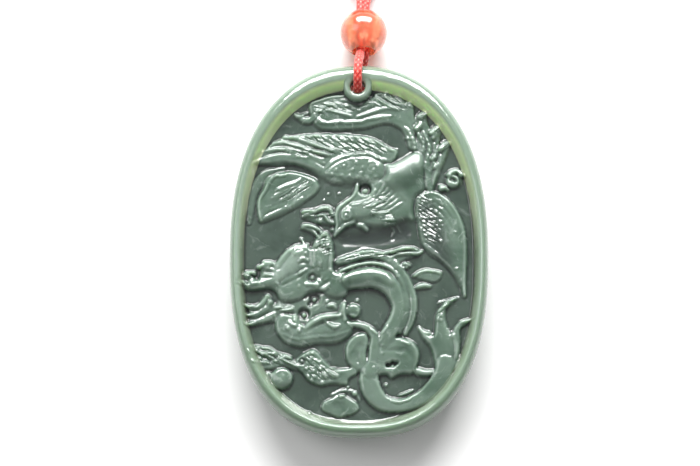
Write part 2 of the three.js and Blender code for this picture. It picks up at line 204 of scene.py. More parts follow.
class NodeBench:
    """Places nodes in a tree with short calls."""

    def __init__(self, tree: Tree) -> None:
        """Keeps the tree that the nodes go in."""
        self.tree = tree

    def add(self, kind: str, **settings: object) -> Node:
        """Adds a node.

        Args:
            kind: The node's Blender type.
            **settings: Node properties, and input values where the key names an input.

        Returns:
            The new node.
        """
        node = self.tree.nodes.new(kind)
        for key, value in settings.items():
            if hasattr(node, key):
                setattr(node, key, value)
            else:
                node.inputs[key.replace("_", " ")].default_value = value
        return node

    def link(self, source: Socket, target: Socket) -> None:
        """Joins an output to an input."""
        self.tree.links.new(source, target)

    def wire(self, source: Node, given: str | int, target: Node, taken: str | int) -> None:
        """Links an output of one node to an input of another, by their names or numbers."""
        self.link(source.outputs[given], target.inputs[taken])

    def blend(self, share: object, first: object, second: object) -> Socket:
        """Mixes two colours.

        Args:
            share: Socket or number that says how much of the second shows.
            first: Socket or colour below.
            second: Socket or colour above.

        Returns:
            The mixed colour's socket.
        """
        node = self.add("ShaderNodeMix", data_type="RGBA")
        for number, value in ((0, share), (6, first), (7, second)):
            if isinstance(value, Socket):
                self.link(value, node.inputs[number])
            elif isinstance(value, tuple):
                node.inputs[number].default_value = (*value, 1.0)
            else:
                node.inputs[number].default_value = value
        return node.outputs[2]

    def join(self, operation: str, first: Socket, second: object) -> Socket:
        """Joins two numbers.

        Args:
            operation: What is done with them, as Blender names it.
            first: Socket of the first.
            second: Socket or value of the second.

        Returns:
            The result's socket.
        """
        node = self.add("ShaderNodeMath", operation=operation)
        self.link(first, node.inputs[0])
        if isinstance(second, Socket):
            self.link(second, node.inputs[1])
        else:
            node.inputs[1].default_value = second
        return node.outputs[0]

    def spread(self, value: Socket, low: float, high: float, to_low: float = 0.0,
               to_high: float = 1.0) -> Socket:
        """Maps a range of a value smoothly to another range.

        Args:
            value: Socket to map.
            low: Value that becomes to_low.
            high: Value that becomes to_high.
            to_low: Result at and below low.
            to_high: Result at and above high.

        Returns:
            The mapped socket.
        """
        node = self.add("ShaderNodeMapRange", interpolation_type="SMOOTHSTEP")
        self.link(value, node.inputs["Value"])
        for key, number in (("From Min", low), ("From Max", high), ("To Min", to_low), ("To Max", to_high)):
            node.inputs[key].default_value = number
        return node.outputs["Result"]


def new_group(name: str, inputs: dict[str, str], outputs: dict[str, str]) -> tuple[NodeBench, object, object]:
    """Starts a shader node group.

    Args:
        name: The group's name.
        inputs: Socket types by input name.
        outputs: Socket types by output name.

    Returns:
        The bench, the group's input node and its output node.
    """
    tree = bpy.data.node_groups.new(name, "ShaderNodeTree")
    for direction, sockets in (("INPUT", inputs), ("OUTPUT", outputs)):
        for key, kind in sockets.items():
            tree.interface.new_socket(key, in_out=direction, socket_type=kind)
    bench = NodeBench(tree)
    return bench, bench.add("NodeGroupInput"), bench.add("NodeGroupOutput")


def cloudy_stone_group() -> Tree:
    """Builds the clouds, wisps and fine grain that polished stones share.

    Returns:
        A group with a colour, a mask of pale wisps and a grain height.
    """
    bench, given, result = new_group(
        "cloudy_stone",
        {"Main": "NodeSocketColor", "Deep": "NodeSocketColor", "Pale": "NodeSocketColor",
         "Cloud Scale": "NodeSocketFloat", "Grain Scale": "NodeSocketFloat"},
        {"Color": "NodeSocketColor", "Wisps": "NodeSocketFloat", "Grain": "NodeSocketFloat"},
    )
    place = bench.add("ShaderNodeTexCoord").outputs["Object"]
    clouds = bench.add("ShaderNodeTexNoise", Detail=3.0, Roughness=0.55, Distortion=0.4)
    wisps = bench.add("ShaderNodeTexNoise", Detail=5.0, Roughness=0.62, Distortion=1.6)
    grain = bench.add("ShaderNodeTexNoise", Detail=2.0, Roughness=0.6)
    finer = bench.add("ShaderNodeMath", operation="MULTIPLY")
    finer.inputs[1].default_value = WISP_FINENESS
    bench.wire(given, "Cloud Scale", finer, 0)
    for node, scale in ((clouds, given.outputs["Cloud Scale"]), (wisps, finer.outputs[0]),
                        (grain, given.outputs["Grain Scale"])):
        bench.link(place, node.inputs["Vector"])
        bench.link(scale, node.inputs["Scale"])
    dark = bench.spread(clouds.outputs["Fac"], *CLOUD_RANGE)
    light = bench.spread(wisps.outputs["Fac"], *WISP_RANGE)
    colour = bench.blend(dark, given.outputs["Deep"], given.outputs["Main"])
    colour = bench.blend(light, colour, given.outputs["Pale"])
    bench.link(colour, result.inputs["Color"])
    bench.link(light, result.inputs["Wisps"])
    bench.wire(grain, "Fac", result, "Grain")
    return bench.tree


def yarn_group() -> Tree:
    """Builds the fibres of dyed yarn.

    Returns:
        A group with a colour and a fibre height.
    """
    bench, given, result = new_group(
        "dyed_yarn",
        {"Dye": "NodeSocketColor", "Shade": "NodeSocketColor", "Fibre Scale": "NodeSocketFloat"},
        {"Color": "NodeSocketColor", "Fibre": "NodeSocketFloat"},
    )
    place = bench.add("ShaderNodeTexCoord").outputs["Object"]
    fibre = bench.add("ShaderNodeTexNoise", Detail=4.0, Roughness=0.7, Distortion=0.6)
    bench.link(place, fibre.inputs["Vector"])
    bench.wire(given, "Fibre Scale", fibre, "Scale")
    worn = bench.spread(fibre.outputs["Fac"], *WORN_RANGE)
    bench.link(bench.blend(worn, given.outputs["Shade"], given.outputs["Dye"]), result.inputs["Color"])
    bench.wire(fibre, "Fac", result, "Fibre")
    return bench.tree


@dataclass
class Finish:
    """A material under construction: its tree, its shader and the bench that adds to them."""

    name: str

    def __post_init__(self) -> None:
        """Makes the material and finds its shader."""
        self.material = bpy.data.materials.new(self.name)
        self.material.use_nodes = True
        self.bench = NodeBench(self.material.node_tree)
        self.shader = self.material.node_tree.nodes["Principled BSDF"]

    def set(self, **values: object) -> None:
        """Sets plain values on the shader, with underscores for spaces."""
        for key, value in values.items():
            self.shader.inputs[key.replace("_", " ")].default_value = value

    def group(self, tree: Tree, **values: object) -> Node:
        """Places a shared group.

        Args:
            tree: The group.
            **values: Its inputs, with underscores for spaces.

        Returns:
            The group node.
        """
        node = self.bench.add("ShaderNodeGroup")
        node.node_tree = tree
        for key, value in values.items():
            plain = (*value, 1.0) if isinstance(value, tuple) else value
            node.inputs[key.replace("_", " ")].default_value = plain
        return node

    def feed(self, source: Socket, target: str) -> None:
        """Joins a socket to one of the shader's inputs."""
        self.bench.link(source, self.shader.inputs[target])

    def bump(self, height: Socket, strength: float, distance: float) -> None:
        """Adds a bump that feeds the shader's normal.

        Args:
            height: Socket with the height.
            strength: Share of the bump that shows.
            distance: Height of the bump in metres.
        """
        node = self.bench.add("ShaderNodeBump", Strength=strength, Distance=distance)
        self.bench.link(height, node.inputs["Height"])
        self.feed(node.outputs["Normal"], "Normal")

    def number(self, attribute: str) -> Socket:
        """Returns the socket of a vertex attribute."""
        return self.bench.add("ShaderNodeAttribute", attribute_name=attribute).outputs["Fac"]


@dataclass(frozen=True)
class JadeFinish:
    """Grey-green jade with a waxy polish, with painted shade in the sunk ground and the cuts, a painted
    highlight on convex edges and painted light on the rim's inner wall.
    """

    main: Colour = (0.115, 0.172, 0.132)
    deep: Colour = (0.062, 0.108, 0.076)
    pale: Colour = (0.24, 0.305, 0.262)
    rim: Colour = (0.17, 0.235, 0.178)
    # The next three colours are painted light: painted shade for the sunk ground, painted shade for the
    # hollows of the cuts, and painted light for the rim's inner wall.
    sunk: Colour = (0.022, 0.031, 0.028)
    hollow_shade: Colour = (0.018, 0.027, 0.022)
    painted_wall_light: Colour = (0.7, 0.8, 0.5)
    cloud_scale: float = 150.0
    grain_scale: float = 2200.0
    sunk_shade_range: Point = (0.0, 1.0, 0.0, 0.9)
    hollow_shade_range: Point = (0.08, 0.75, 0.0, 0.85)
    crest_highlight_range: Point = (0.05, 0.7, 0.0, 0.8)
    wall_light_range: Point = (0.0, 1.0, 0.0, 0.9)
    polish_range: Point = (0.0, 1.0, 0.12, 0.2)
    gap_range: Point = (0.34, 0.52, 0.35, 1.0)
    wobble_scale: float = 620.0
    gap_scale: float = 900.0
    stroke_wobble: float = 1.1
    stroke_lean: float = 0.5
    stroke_depth: float = 0.1
    ripple_scale: float = 640.0
    ripple: float = 0.85
    coat: float = 0.35
    matte_full: float = 0.8
    matte_roughness: float = 0.14

    def strokes(self, jade: Finish) -> Socket:
        """Gives the height of the close fine strokes.

        Args:
            jade: The material under construction.

        Returns:
            The height's socket.
        """
        bench = jade.bench
        place = bench.add("ShaderNodeTexCoord").outputs["Object"]
        noise = bench.add("ShaderNodeTexNoise", Scale=self.wobble_scale, Detail=2.0, Roughness=0.6)
        bench.link(place, noise.inputs["Vector"])
        wobble = bench.join("MULTIPLY", noise.outputs["Fac"], self.stroke_wobble)
        turn = bench.join("MULTIPLY", bench.join("ADD", jade.number("comb_phase"), wobble), 2 * math.pi)
        lean = bench.join("MULTIPLY", bench.join("SINE", turn, 0.0), self.stroke_lean)
        wave = bench.join("SINE", bench.join("ADD", turn, lean), 0.0)
        gaps = bench.add("ShaderNodeTexNoise", Scale=self.gap_scale, Detail=1.0, Roughness=0.5)
        bench.link(place, gaps.inputs["Vector"])
        broken = bench.spread(gaps.outputs["Fac"], *self.gap_range)
        return bench.join("MULTIPLY", bench.join("MULTIPLY", wave, broken), jade.number("combed"))

    def ripples(self, jade: Finish) -> Socket:
        """Gives the height of the slight waves that hand polishing leaves on what stands above the ground.

        Args:
            jade: The material under construction.

        Returns:
            The height's socket.
        """
        bench = jade.bench
        place = bench.add("ShaderNodeTexCoord").outputs["Object"]
        noise = bench.add("ShaderNodeTexNoise", Scale=self.ripple_scale, Detail=2.0, Roughness=0.5)
        bench.link(place, noise.inputs["Vector"])
        raised = bench.spread(jade.number("sunk"), 0.0, 1.0, self.ripple, 0.0)
        return bench.join("MULTIPLY", noise.outputs["Fac"], raised)

    def material(self, stone: Tree) -> Material:
        """Builds the jade.

        Args:
            stone: The cloudy stone group.

        Returns:
            The material.
        """
        jade = Finish("jade")
        clouds = jade.group(stone, Main=self.main, Deep=self.deep, Pale=self.pale,
                            Cloud_Scale=self.cloud_scale, Grain_Scale=self.grain_scale)
        bench = jade.bench
        colour = bench.blend(jade.number("paleness"), clouds.outputs["Color"], self.pale)
        colour = bench.blend(jade.number("rim"), colour, self.rim)
        # Painted light over the stone's colour: painted shade that deepens with the ground's depth and in
        # hollows, a painted highlight on convex edges, and painted light on the rim's inner wall.
        layers = (("sunk", self.sunk_shade_range, self.sunk), ("hollow", self.hollow_shade_range, self.hollow_shade),
                  ("crest", self.crest_highlight_range, self.pale), ("wall", self.wall_light_range, self.painted_wall_light))
        for attribute, shares, tone in layers:
            colour = bench.blend(bench.spread(jade.number(attribute), *shares), colour, tone)
        jade.feed(colour, "Base Color")
        polish = bench.spread(clouds.outputs["Wisps"], *self.polish_range)
        dull = bench.spread(jade.number("matte"), 0.0, self.matte_full, 0.0, self.matte_roughness)
        jade.feed(bench.join("ADD", polish, dull), "Roughness")
        jade.feed(bench.spread(jade.number("matte"), 0.0, self.matte_full, self.coat, 0.0), "Coat Weight")
        height = bench.join("ADD", self.strokes(jade), self.ripples(jade))
        jade.bump(height, 1.0, self.stroke_depth * MM)
        jade.set(IOR=1.62, Coat_Roughness=0.1, Coat_IOR=1.5)
        jade.set(Subsurface_Weight=0.75, Subsurface_Scale=0.003, Subsurface_Radius=(0.8, 1.0, 0.7))
        return jade.material


@dataclass(frozen=True)
class AgateFinish:
    """Translucent orange-red agate with a glassy polish."""

    main: Colour = (1.0, 0.36, 0.19)
    deep: Colour = (1.0, 0.22, 0.09)
    pale: Colour = (1.0, 0.5, 0.33)
    cloud_scale: float = 260.0
    grain_scale: float = 900.0
    grain_strength: float = 0.05
    grain_depth: float = 0.04

    def material(self, stone: Tree) -> Material:
        """Builds the agate.

        Args:
            stone: The cloudy stone group.

        Returns:
            The material.
        """
        agate = Finish("agate")
        clouds = agate.group(stone, Main=self.main, Deep=self.deep, Pale=self.pale,
                             Cloud_Scale=self.cloud_scale, Grain_Scale=self.grain_scale)
        agate.feed(clouds.outputs["Color"], "Base Color")
        agate.bump(clouds.outputs["Grain"], self.grain_strength, self.grain_depth * MM)
        agate.set(Roughness=0.18, IOR=1.53, Transmission_Weight=0.75, Coat_Weight=1.0, Coat_Roughness=0.04)
        agate.set(Subsurface_Weight=0.5, Subsurface_Scale=0.003, Subsurface_Radius=(1.0, 0.3, 0.15))
        return agate.material


@dataclass(frozen=True)
class YarnFinish:
    """Red dyed yarn; on a braid, painted shade between the picks and a painted highlight on their tops."""

    name: str = "red_cord"
    dye: Colour = (0.8, 0.056, 0.04)
    shade: Colour = (0.62, 0.03, 0.022)
    # Painted shade between the picks, and a painted highlight on their tops.
    between: Colour = (0.24, 0.005, 0.005)
    lit: Colour = (0.98, 0.4, 0.34)
    fibre_scale: float = 5200.0
    fibre_strength: float = 0.4
    fibre_depth: float = 0.08
    between_shade_range: Point = (0.15, 0.6)
    lit_range: Point = (0.62, 0.95, 0.0, 0.75)
    braided: bool = True

    def material(self, yarn: Tree) -> Material:
        """Builds the yarn.

        Args:
            yarn: The dyed yarn group.

        Returns:
            The material.
        """
        cord = Finish(self.name)
        fibre = cord.group(yarn, Dye=self.dye, Shade=self.shade, Fibre_Scale=self.fibre_scale)
        colour = fibre.outputs["Color"]
        if self.braided:
            pick = cord.number("pick")
            bench = cord.bench
            # Painted shade where the braid dips between picks, and a painted highlight on the picks' tops.
            colour = bench.blend(bench.spread(pick, *self.between_shade_range), self.between, colour)
            colour = bench.blend(bench.spread(pick, *self.lit_range), colour, self.lit)
        cord.feed(colour, "Base Color")
        cord.bump(fibre.outputs["Fibre"], self.fibre_strength, self.fibre_depth * MM)
        cord.set(Roughness=0.52, IOR=1.48, Sheen_Weight=0.25, Sheen_Roughness=0.4)
        return cord.material


@dataclass(frozen=True)
class FloorFinish:
    """Pale matt paper."""

    main: Colour = (0.86, 0.86, 0.855)
    pale: Colour = (0.9, 0.9, 0.895)

    def material(self) -> Material:
        """Builds the floor's material."""
        paper = Finish("pale_floor")
        fibre = paper.bench.add("ShaderNodeTexNoise", Scale=40.0, Detail=3.0)
        place = paper.bench.add("ShaderNodeTexCoord").outputs["Object"]
        paper.bench.link(place, fibre.inputs["Vector"])
        paper.feed(paper.bench.blend(fibre.outputs["Fac"], self.main, self.pale), "Base Color")
        paper.set(Roughness=0.6, Specular_IOR_Level=0.2)
        return paper.material


@dataclass(frozen=True)
class SoftBox:
    """One rectangular studio light, aimed at the middle of the tablet."""

    name: str
    place: Point
    width: float
    height: float
    power: float

    def build(self) -> None:
        """Hangs the light and turns it to the tablet."""
        light = bpy.data.lights.new(self.name, "AREA")
        light.shape = "RECTANGLE"
        light.size = self.width * MM
        light.size_y = self.height * MM
        light.energy = self.power
        holder = bpy.data.objects.new(self.name, light)
        bpy.context.collection.objects.link(holder)
        holder.location = [value * MM for value in self.place]
        holder.rotation_euler = (-holder.location).to_track_quat("-Z", "Y").to_euler()


@dataclass
class Studio:
    """Camera at the photograph's angle, pale floor and soft light from beyond the cord hole."""

    tilt_degrees: float = 14.0
    distance: float = 400.0
    focal_pixels: float = 2465.0
    image_width: int = 700
    sensor_width: float = 36.0
    aim: Point = (-1.46, 2.34, 7.0)
    floor_half: float = 1500.0
    sky_strength: float = 0.44
    clip: Point = (0.01, 10.0)
    boxes: tuple[SoftBox, ...] = (
        SoftBox("key", (20.0, 510.0, 345.0), 620.0, 280.0, 10.2),
        SoftBox("fill", (-380.0, 160.0, 460.0), 300.0, 300.0, 0.7),
    )

    def build_camera(self) -> None:
        """Sets the camera above the tablet, tilted back towards its lower end."""
        lens = bpy.data.cameras.new("camera")
        lens.sensor_width = self.sensor_width
        lens.lens = self.focal_pixels / self.image_width * self.sensor_width
        lens.clip_start, lens.clip_end = self.clip
        camera = bpy.data.objects.new("camera", lens)
        bpy.context.collection.objects.link(camera)
        tilt = math.radians(self.tilt_degrees)
        offset = (0.0, -math.sin(tilt), math.cos(tilt))
        camera.location = [(a + self.distance * b) * MM for a, b in zip(self.aim, offset)]
        camera.rotation_euler = (tilt, 0.0, 0.0)
        bpy.context.scene.camera = camera

    def build_lights(self) -> None:
        """Hangs the softboxes and sets the even light of the room."""
        for box in self.boxes:
            box.build()
        world = bpy.data.worlds.new("studio")
        world.use_nodes = True
        sky = world.node_tree.nodes["Background"]
        sky.inputs["Color"].default_value = (1.0, 1.0, 1.0, 1.0)
        sky.inputs["Strength"].default_value = self.sky_strength
        bpy.context.scene.world = world
        bpy.context.scene.view_settings.view_transform = "Standard"

    def build_floor(self) -> Piece:
        """Lays the floor just under the tablet and returns it."""
        corners = self.floor_half * np.array([(-1, -1, 0), (1, -1, 0), (1, 1, 0), (-1, 1, 0)], dtype=float)
        floor = mesh_object("floor", corners, np.array([(0, 1, 2, 3)]))
        floor.data.materials.append(FloorFinish().material())
        return floor


@dataclass
class NeckCord:
    """One braided cord: out of the front of the hole, through the bead, wound up, and back to the hole."""

    diameter: float = 1.5
    step: float = 0.2
    sides: int = 20
    picks_around: int = 5
    pick_length: float = 0.95
    pick_relief: float = 0.2
    coil_middle: Point = (0.8, 64.0)
    coil_outer: float = 12.34
    coil_inner: float = 4.66
    entry_degrees: float = 222.0
    leave_degrees: float = -42.0
    full_turns: int = 10
    lower_layer: float = 0.8
    upper_layer: float = 2.3
    tie_degrees: float = 90.0
    tie_lift: float = 0.68
    tie_reach: float = 3.0
    front_route: tuple[Point, ...] = (
        (-0.2, 26.75, 4.85), (-0.2, 26.75, 5.6), (-0.2, 26.75, 6.3), (-0.2, 26.95, 7.29), (-0.2, 27.51, 8.14),
        (-0.2, 28.35, 8.7), (-0.18, 29.35, 8.9), (-0.1, 30.6, 8.6), (0.0, 31.7, 7.7), (0.15, 32.8, 6.2),
        (0.28, 34.0, 5.13), (0.3, 35.8, 4.93), (0.3, 37.58, 4.75), (0.3, 39.4, 4.56), (0.3, 41.16, 4.37),
        (0.3, 43.0, 3.75), (0.1, 44.8, 2.6), (-0.7, 46.5, 1.5), (-2.0, 48.4, 0.95), (-3.8, 50.5, 0.85),
    )
    back_route: tuple[Point, ...] = (
        (-0.2, 26.75, 4.55), (-0.2, 26.75, 4.0), (-0.2, 26.75, 3.45), (-0.2, 26.95, 2.44),
        (-0.18, 27.53, 1.58), (-0.1, 28.39, 1.0), (0.05, 29.4, 0.8), (0.3, 30.7, 0.95),
        (0.6, 31.9, 1.7), (0.9, 32.9, 2.75), (1.08, 33.84, 3.5), (1.1, 35.6, 3.4),
        (1.1, 37.42, 3.2), (1.1, 39.2, 3.01), (1.1, 41.0, 2.83), (1.2, 43.0, 2.2),
        (1.6, 44.8, 1.4), (2.4, 46.6, 0.95), (3.6, 48.4, 0.85), (5.4, 50.5, 0.85),
    )
    turn_points: int = 24
    exit_place: Point = (-0.2, 27.0, 8.0)

    def coil(self) -> list[Point]:
        """Winds two layers: in along the floor, up at the middle and out on top.

        Returns:
            Points of the turns, in the order that the cord takes them.
        """
        sweep = self.full_turns * 360.0 + self.entry_degrees - self.leave_degrees
        count = int(sweep / 360.0 * self.turn_points)
        climb = 0.5 / (sweep / 360.0)
        points = []
        for k in range(count + 1):
            share = k / count
            degrees = self.entry_degrees - share * sweep
            inward = min(1.0, abs(share - 0.5) / (0.5 - climb / 2) - climb) if share != 0.5 else 0.0
            inward = max(0.0, inward)
            radius = self.coil_inner + (self.coil_outer - self.coil_inner) * min(1.0, inward)
            rise = min(1.0, max(0.0, (share - 0.5) / climb + 0.5))
            height = self.lower_layer + (self.upper_layer - self.lower_layer) * rise
            away = (degrees - self.tie_degrees + 180.0) % 360.0 - 180.0
            arc = math.radians(away) * radius
            height += self.tie_lift * math.exp(-((arc / self.tie_reach) ** 2))
            turn = math.radians(degrees)
            points.append((self.coil_middle[0] + radius * math.cos(turn),
                           self.coil_middle[1] + radius * math.sin(turn), height))
        return points

    def route(self) -> Array:
        """Returns the cord's whole centreline in even steps."""
        points = [*self.front_route, *self.coil(), *reversed(self.back_route)]
        return even_path(smooth_path(points, self.step), self.step)

    def build(self, finish: Material) -> Piece:
        """Braids the cord along its route.

        Args:
            finish: The cord's material.

        Returns:
            The cord.
        """
        path = self.route()
        turn = np.arange(self.sides) / self.sides * self.picks_around
        along = run_length(path)[:, None] / self.pick_length
        woven = np.abs(np.sin(math.pi * (turn + along)) * np.sin(math.pi * (turn - along))) ** 0.5
        radii = self.diameter / 2 * (1 - self.pick_relief * (1 - woven))
        places, faces = tube_rows(path, radii)
        picks = np.concatenate([woven.ravel(), [0.0, 0.0]])
        self.path = path
        cord = mesh_object("cord", places, faces, pick=picks)
        cord.data.materials.append(finish)
        return cord

    def declare(self, cord: Piece) -> None:
        """Hangs the cord on the pendant's body and hides the cord parts that it stands in for.

        Args:
            cord: The cord.
        """
        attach(cord, BODY)
        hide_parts("cord_front", "cord_back", "cord_coil")


@dataclass
class CoilTie:
    """Turns of thread that hold the coil, with a small overhand knot on top."""

    thread: float = 0.62
    turns: int = 4
    middle: Point = (0.8, 72.5)
    span: float = 10.1
    bottom: float = 0.34
    top: float = 4.08
    corner: float = 1.2
    knot_radius: float = 0.62
    knot_open: float = 0.35
    knot_points: int = 60
    knot_sides: int = 10
    knot_detail: float = 0.1
    knot_step: float = 0.12
    knot_lift: float = 0.9
    knot_rise: float = 0.55
    first_tail: tuple[Point, ...] = ((1.9, -1.6, -0.35), (0.9, -0.8, 0.1))
    last_tail: tuple[Point, ...] = ((-0.9, -0.7, 0.1), (-2.1, -1.3, -0.4))
    spacing: float = 0.98

    def loops(self, finish: Material) -> Piece:
        """Lays the turns side by side with Geometry Nodes.

        Args:
            finish: The thread's material.

        Returns:
            The turns as one plain mesh.
        """
        tree = bpy.data.node_groups.new("thread_turns", "GeometryNodeTree")
        sizes = {"Thread": self.thread * MM, "Span": self.span * MM, "Height": (self.top - self.bottom) * MM,
                 "Corner": self.corner * MM, "Spacing": self.thread * self.spacing * MM}
        for key in sizes:
            tree.interface.new_socket(key, in_out="INPUT", socket_type="NodeSocketFloat")
        tree.interface.new_socket("Turns", in_out="INPUT", socket_type="NodeSocketInt")
        tree.interface.new_socket("Finish", in_out="INPUT", socket_type="NodeSocketMaterial")
        tree.interface.new_socket("Geometry", in_out="OUTPUT", socket_type="NodeSocketGeometry")
        bench = NodeBench(tree)
        given = bench.add("NodeGroupInput")
        result = bench.add("NodeGroupOutput")
        frame_curve = bench.add("GeometryNodeCurvePrimitiveQuadrilateral")
        bench.wire(given, "Span", frame_curve, "Width")
        bench.wire(given, "Height", frame_curve, "Height")
        rounded = bench.add("GeometryNodeFilletCurve", mode="POLY", Count=6)
        bench.wire(frame_curve, "Curve", rounded, "Curve")
        bench.wire(given, "Corner", rounded, "Radius")
        half = bench.add("ShaderNodeMath", operation="MULTIPLY")
        half.inputs[1].default_value = 0.5
        bench.wire(given, "Thread", half, 0)
        section = bench.add("GeometryNodeCurvePrimitiveCircle", mode="RADIUS", Resolution=12)
        bench.wire(half, 0, section, "Radius")
        tube = bench.add("GeometryNodeCurveToMesh")
        bench.wire(rounded, "Curve", tube, "Curve")
        bench.wire(section, "Curve", tube, "Profile Curve")
        upright = bench.add("GeometryNodeTransform", Rotation=(math.pi / 2, 0.0, math.pi / 2))
        bench.wire(tube, "Mesh", upright, "Geometry")
        offset = bench.add("ShaderNodeCombineXYZ")
        bench.wire(given, "Spacing", offset, "X")
        row = bench.add("GeometryNodeMeshLine", mode="OFFSET")
        bench.wire(given, "Turns", row, "Count")
        bench.wire(offset, 0, row, "Offset")
        placed = bench.add("GeometryNodeInstanceOnPoints")
        bench.wire(row, "Mesh", placed, "Points")
        bench.wire(upright, "Geometry", placed, "Instance")
        real = bench.add("GeometryNodeRealizeInstances")
        bench.wire(placed, "Instances", real, "Geometry")
        dressed = bench.add("GeometryNodeSetMaterial")
        bench.wire(real, "Geometry", dressed, "Geometry")
        bench.wire(given, "Finish", dressed, "Material")
        bench.wire(dressed, "Geometry", result, "Geometry")
        holder = mesh_object("tie_loops", np.zeros((3, 3)), np.array([(0, 1, 2, 2)]))
        nodes = holder.modifiers.new("turns", "NODES")
        nodes.node_group = tree
        values = {**sizes, "Turns": self.turns, "Finish": finish}
        for socket in tree.interface.items_tree:
            if socket.in_out == "INPUT":
                nodes[socket.identifier] = values[socket.name]
        make_plain(holder)
        return holder

    def knot(self, finish: Material) -> Piece:
        """Ties the overhand knot with two short tails.

        Args:
            finish: The thread's material.

        Returns:
            The knot.
        """
        size = self.knot_radius
        height = self.top + self.thread * self.knot_lift
        turns = np.linspace(self.knot_open, 2 * math.pi - self.knot_open, self.knot_points)
        x = size * (np.sin(turns) + 2 * np.sin(2 * turns)) / 2
        y = size * (np.cos(turns) - 2 * np.cos(2 * turns)) / 2
        z = height + self.thread * self.knot_rise * (1 - np.sin(3 * turns))
        loop = np.column_stack([x + self.middle[0], y + self.middle[1], z])
        start = loop[0] + self.first_tail
        end = loop[-1] + self.last_tail
        path = even_path(smooth_path([*start, *loop, *end], self.knot_detail), self.knot_step)
        places, faces = tube_rows(path, np.full((len(path), self.knot_sides), self.thread / 2))
        made = mesh_object("tie_knot", places, faces)
        made.data.materials.append(finish)
        return made

    def build(self, finish: Material) -> Piece:
        """Puts the turns in place and joins the knot to them.

        Args:
            finish: The thread's material.

        Returns:
            The tie.
        """
        loops = self.loops(finish)
        width = (self.turns - 1) * self.thread * self.spacing
        shift = np.array([self.middle[0] - width / 2, self.middle[1], (self.top + self.bottom) / 2]) * MM
        for vertex in loops.data.vertices:
            vertex.co = [a + b for a, b in zip(vertex.co, shift)]
        loops.data.shade_smooth()
        knot = self.knot(finish)
        with bpy.context.temp_override(active_object=loops, selected_editable_objects=[loops, knot]):
            bpy.ops.object.join()
        loops.name = "coil_tie_thread"
        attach(loops, BODY)
        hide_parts("coil_tie")
        log.info("tie: %d turns of thread", self.turns)
        return loops


@dataclass
class AgateBead:
    """Round bored bead, lying with its bore along the doubled cord."""

    radius: float = 4.0
    bore: float = 1.78
    lip: float = 0.25
    middle: Point = (0.8, 37.5, 4.0)
    dip_degrees: float = -6.0
    segments: int = 72
    rows: int = 40
    lip_points: int = 5
    lip_start: float = 0.3
    lip_stretch: float = 1.2
    wall_points: int = 8
    wall_inset: float = 0.3

    def build(self, finish: Material) -> Piece:
        """Turns the bead's profile about its bore.

        Args:
            finish: The agate.

        Returns:
            The bead.
        """
        mouth = self.bore + self.lip
        limit = math.acos(mouth / self.radius)
        swing = np.linspace(-limit, limit, self.rows)
        outside = [(self.radius * math.cos(a), self.radius * math.sin(a)) for a in swing]
        end = self.radius * math.sin(limit)
        lip = [(mouth - self.lip * math.sin(a), end - self.lip * (1 - math.cos(a)) * self.lip_stretch)
               for a in np.linspace(self.lip_start, math.pi / 2, self.lip_points)]
        wall_end = lip[-1][1] - self.wall_inset
        wall = [(self.bore, y) for y in np.linspace(wall_end, -wall_end, self.wall_points)]
        profile = np.array([*outside, *lip, *wall, *((r, -y) for r, y in reversed(lip))])
        turn = np.arange(self.segments) * 2 * math.pi / self.segments
        x = profile[:, 0][None] * np.cos(turn)[:, None]
        z = -profile[:, 0][None] * np.sin(turn)[:, None]
        y = np.repeat(profile[:, 1][None], self.segments, axis=0)
        dip = math.radians(self.dip_degrees)
        along = y * math.cos(dip) - z * math.sin(dip)
        up = y * math.sin(dip) + z * math.cos(dip)
        places = np.stack([x, along, up], axis=-1).reshape(-1, 3) + np.array(self.middle)
        count = len(profile)
        row = np.arange(count)
        step = (row + 1) % count
        here = np.arange(self.segments)[:, None] * count
        ahead = (np.arange(self.segments)[:, None] + 1) % self.segments * count
        faces = np.stack([here + row, ahead + row, ahead + step, here + step], axis=-1).reshape(-1, 4)
        bead = mesh_object("agate_bead", places, faces)
        bead.data.materials.append(finish)
        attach(bead, BODY)
        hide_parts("bead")
        log.info("bead: %.1f mm across", 2 * self.radius)
        return bead


def evened(heights: Array, columns: int, passes: int) -> Array:
    """Evens out a field of heights with their neighbours.

    Args:
        heights: The field, row by row.
        columns: Places in one row.
        passes: How many times.

    Returns:
        The evened field, row by row.
    """
    field = heights.reshape(-1, columns)
    for _ in range(passes):
        wide = np.pad(field, 1, mode="edge")
        rows = (wide[:-2] + 2 * wide[1:-1] + wide[2:]) / 4
        field = (rows[:, :-2] + 2 * rows[:, 1:-1] + rows[:, 2:]) / 4
    return field.ravel()


class Section(Enum):
    """Cross-sections of a raised form."""

    ROUND = "round"
    CROWN = "crown"
    FLAT = "flat"
    SOFT = "soft"
    FACET = "facet"
    TILTED = "tilted"


class Base(Enum):
    """What a form's rise is measured from."""

    GROUND = "ground"
    SURFACE = "surface"


@dataclass(frozen=True)
class Mass:
    """A broad raised area with a rounded edge, under the finer forms.

    Attributes:
        outline: Places round its foot, in millimetres.
        rise: Height of its middle over the ground.
        edge: Width of its rounded edge.
        seat: Depth of the line that is cut round its foot.
        even: How many times its top is evened out.
    """

    outline: tuple[Point, ...]
    rise: float
    edge: float
    seat: float = 0.12
    even: int = 0


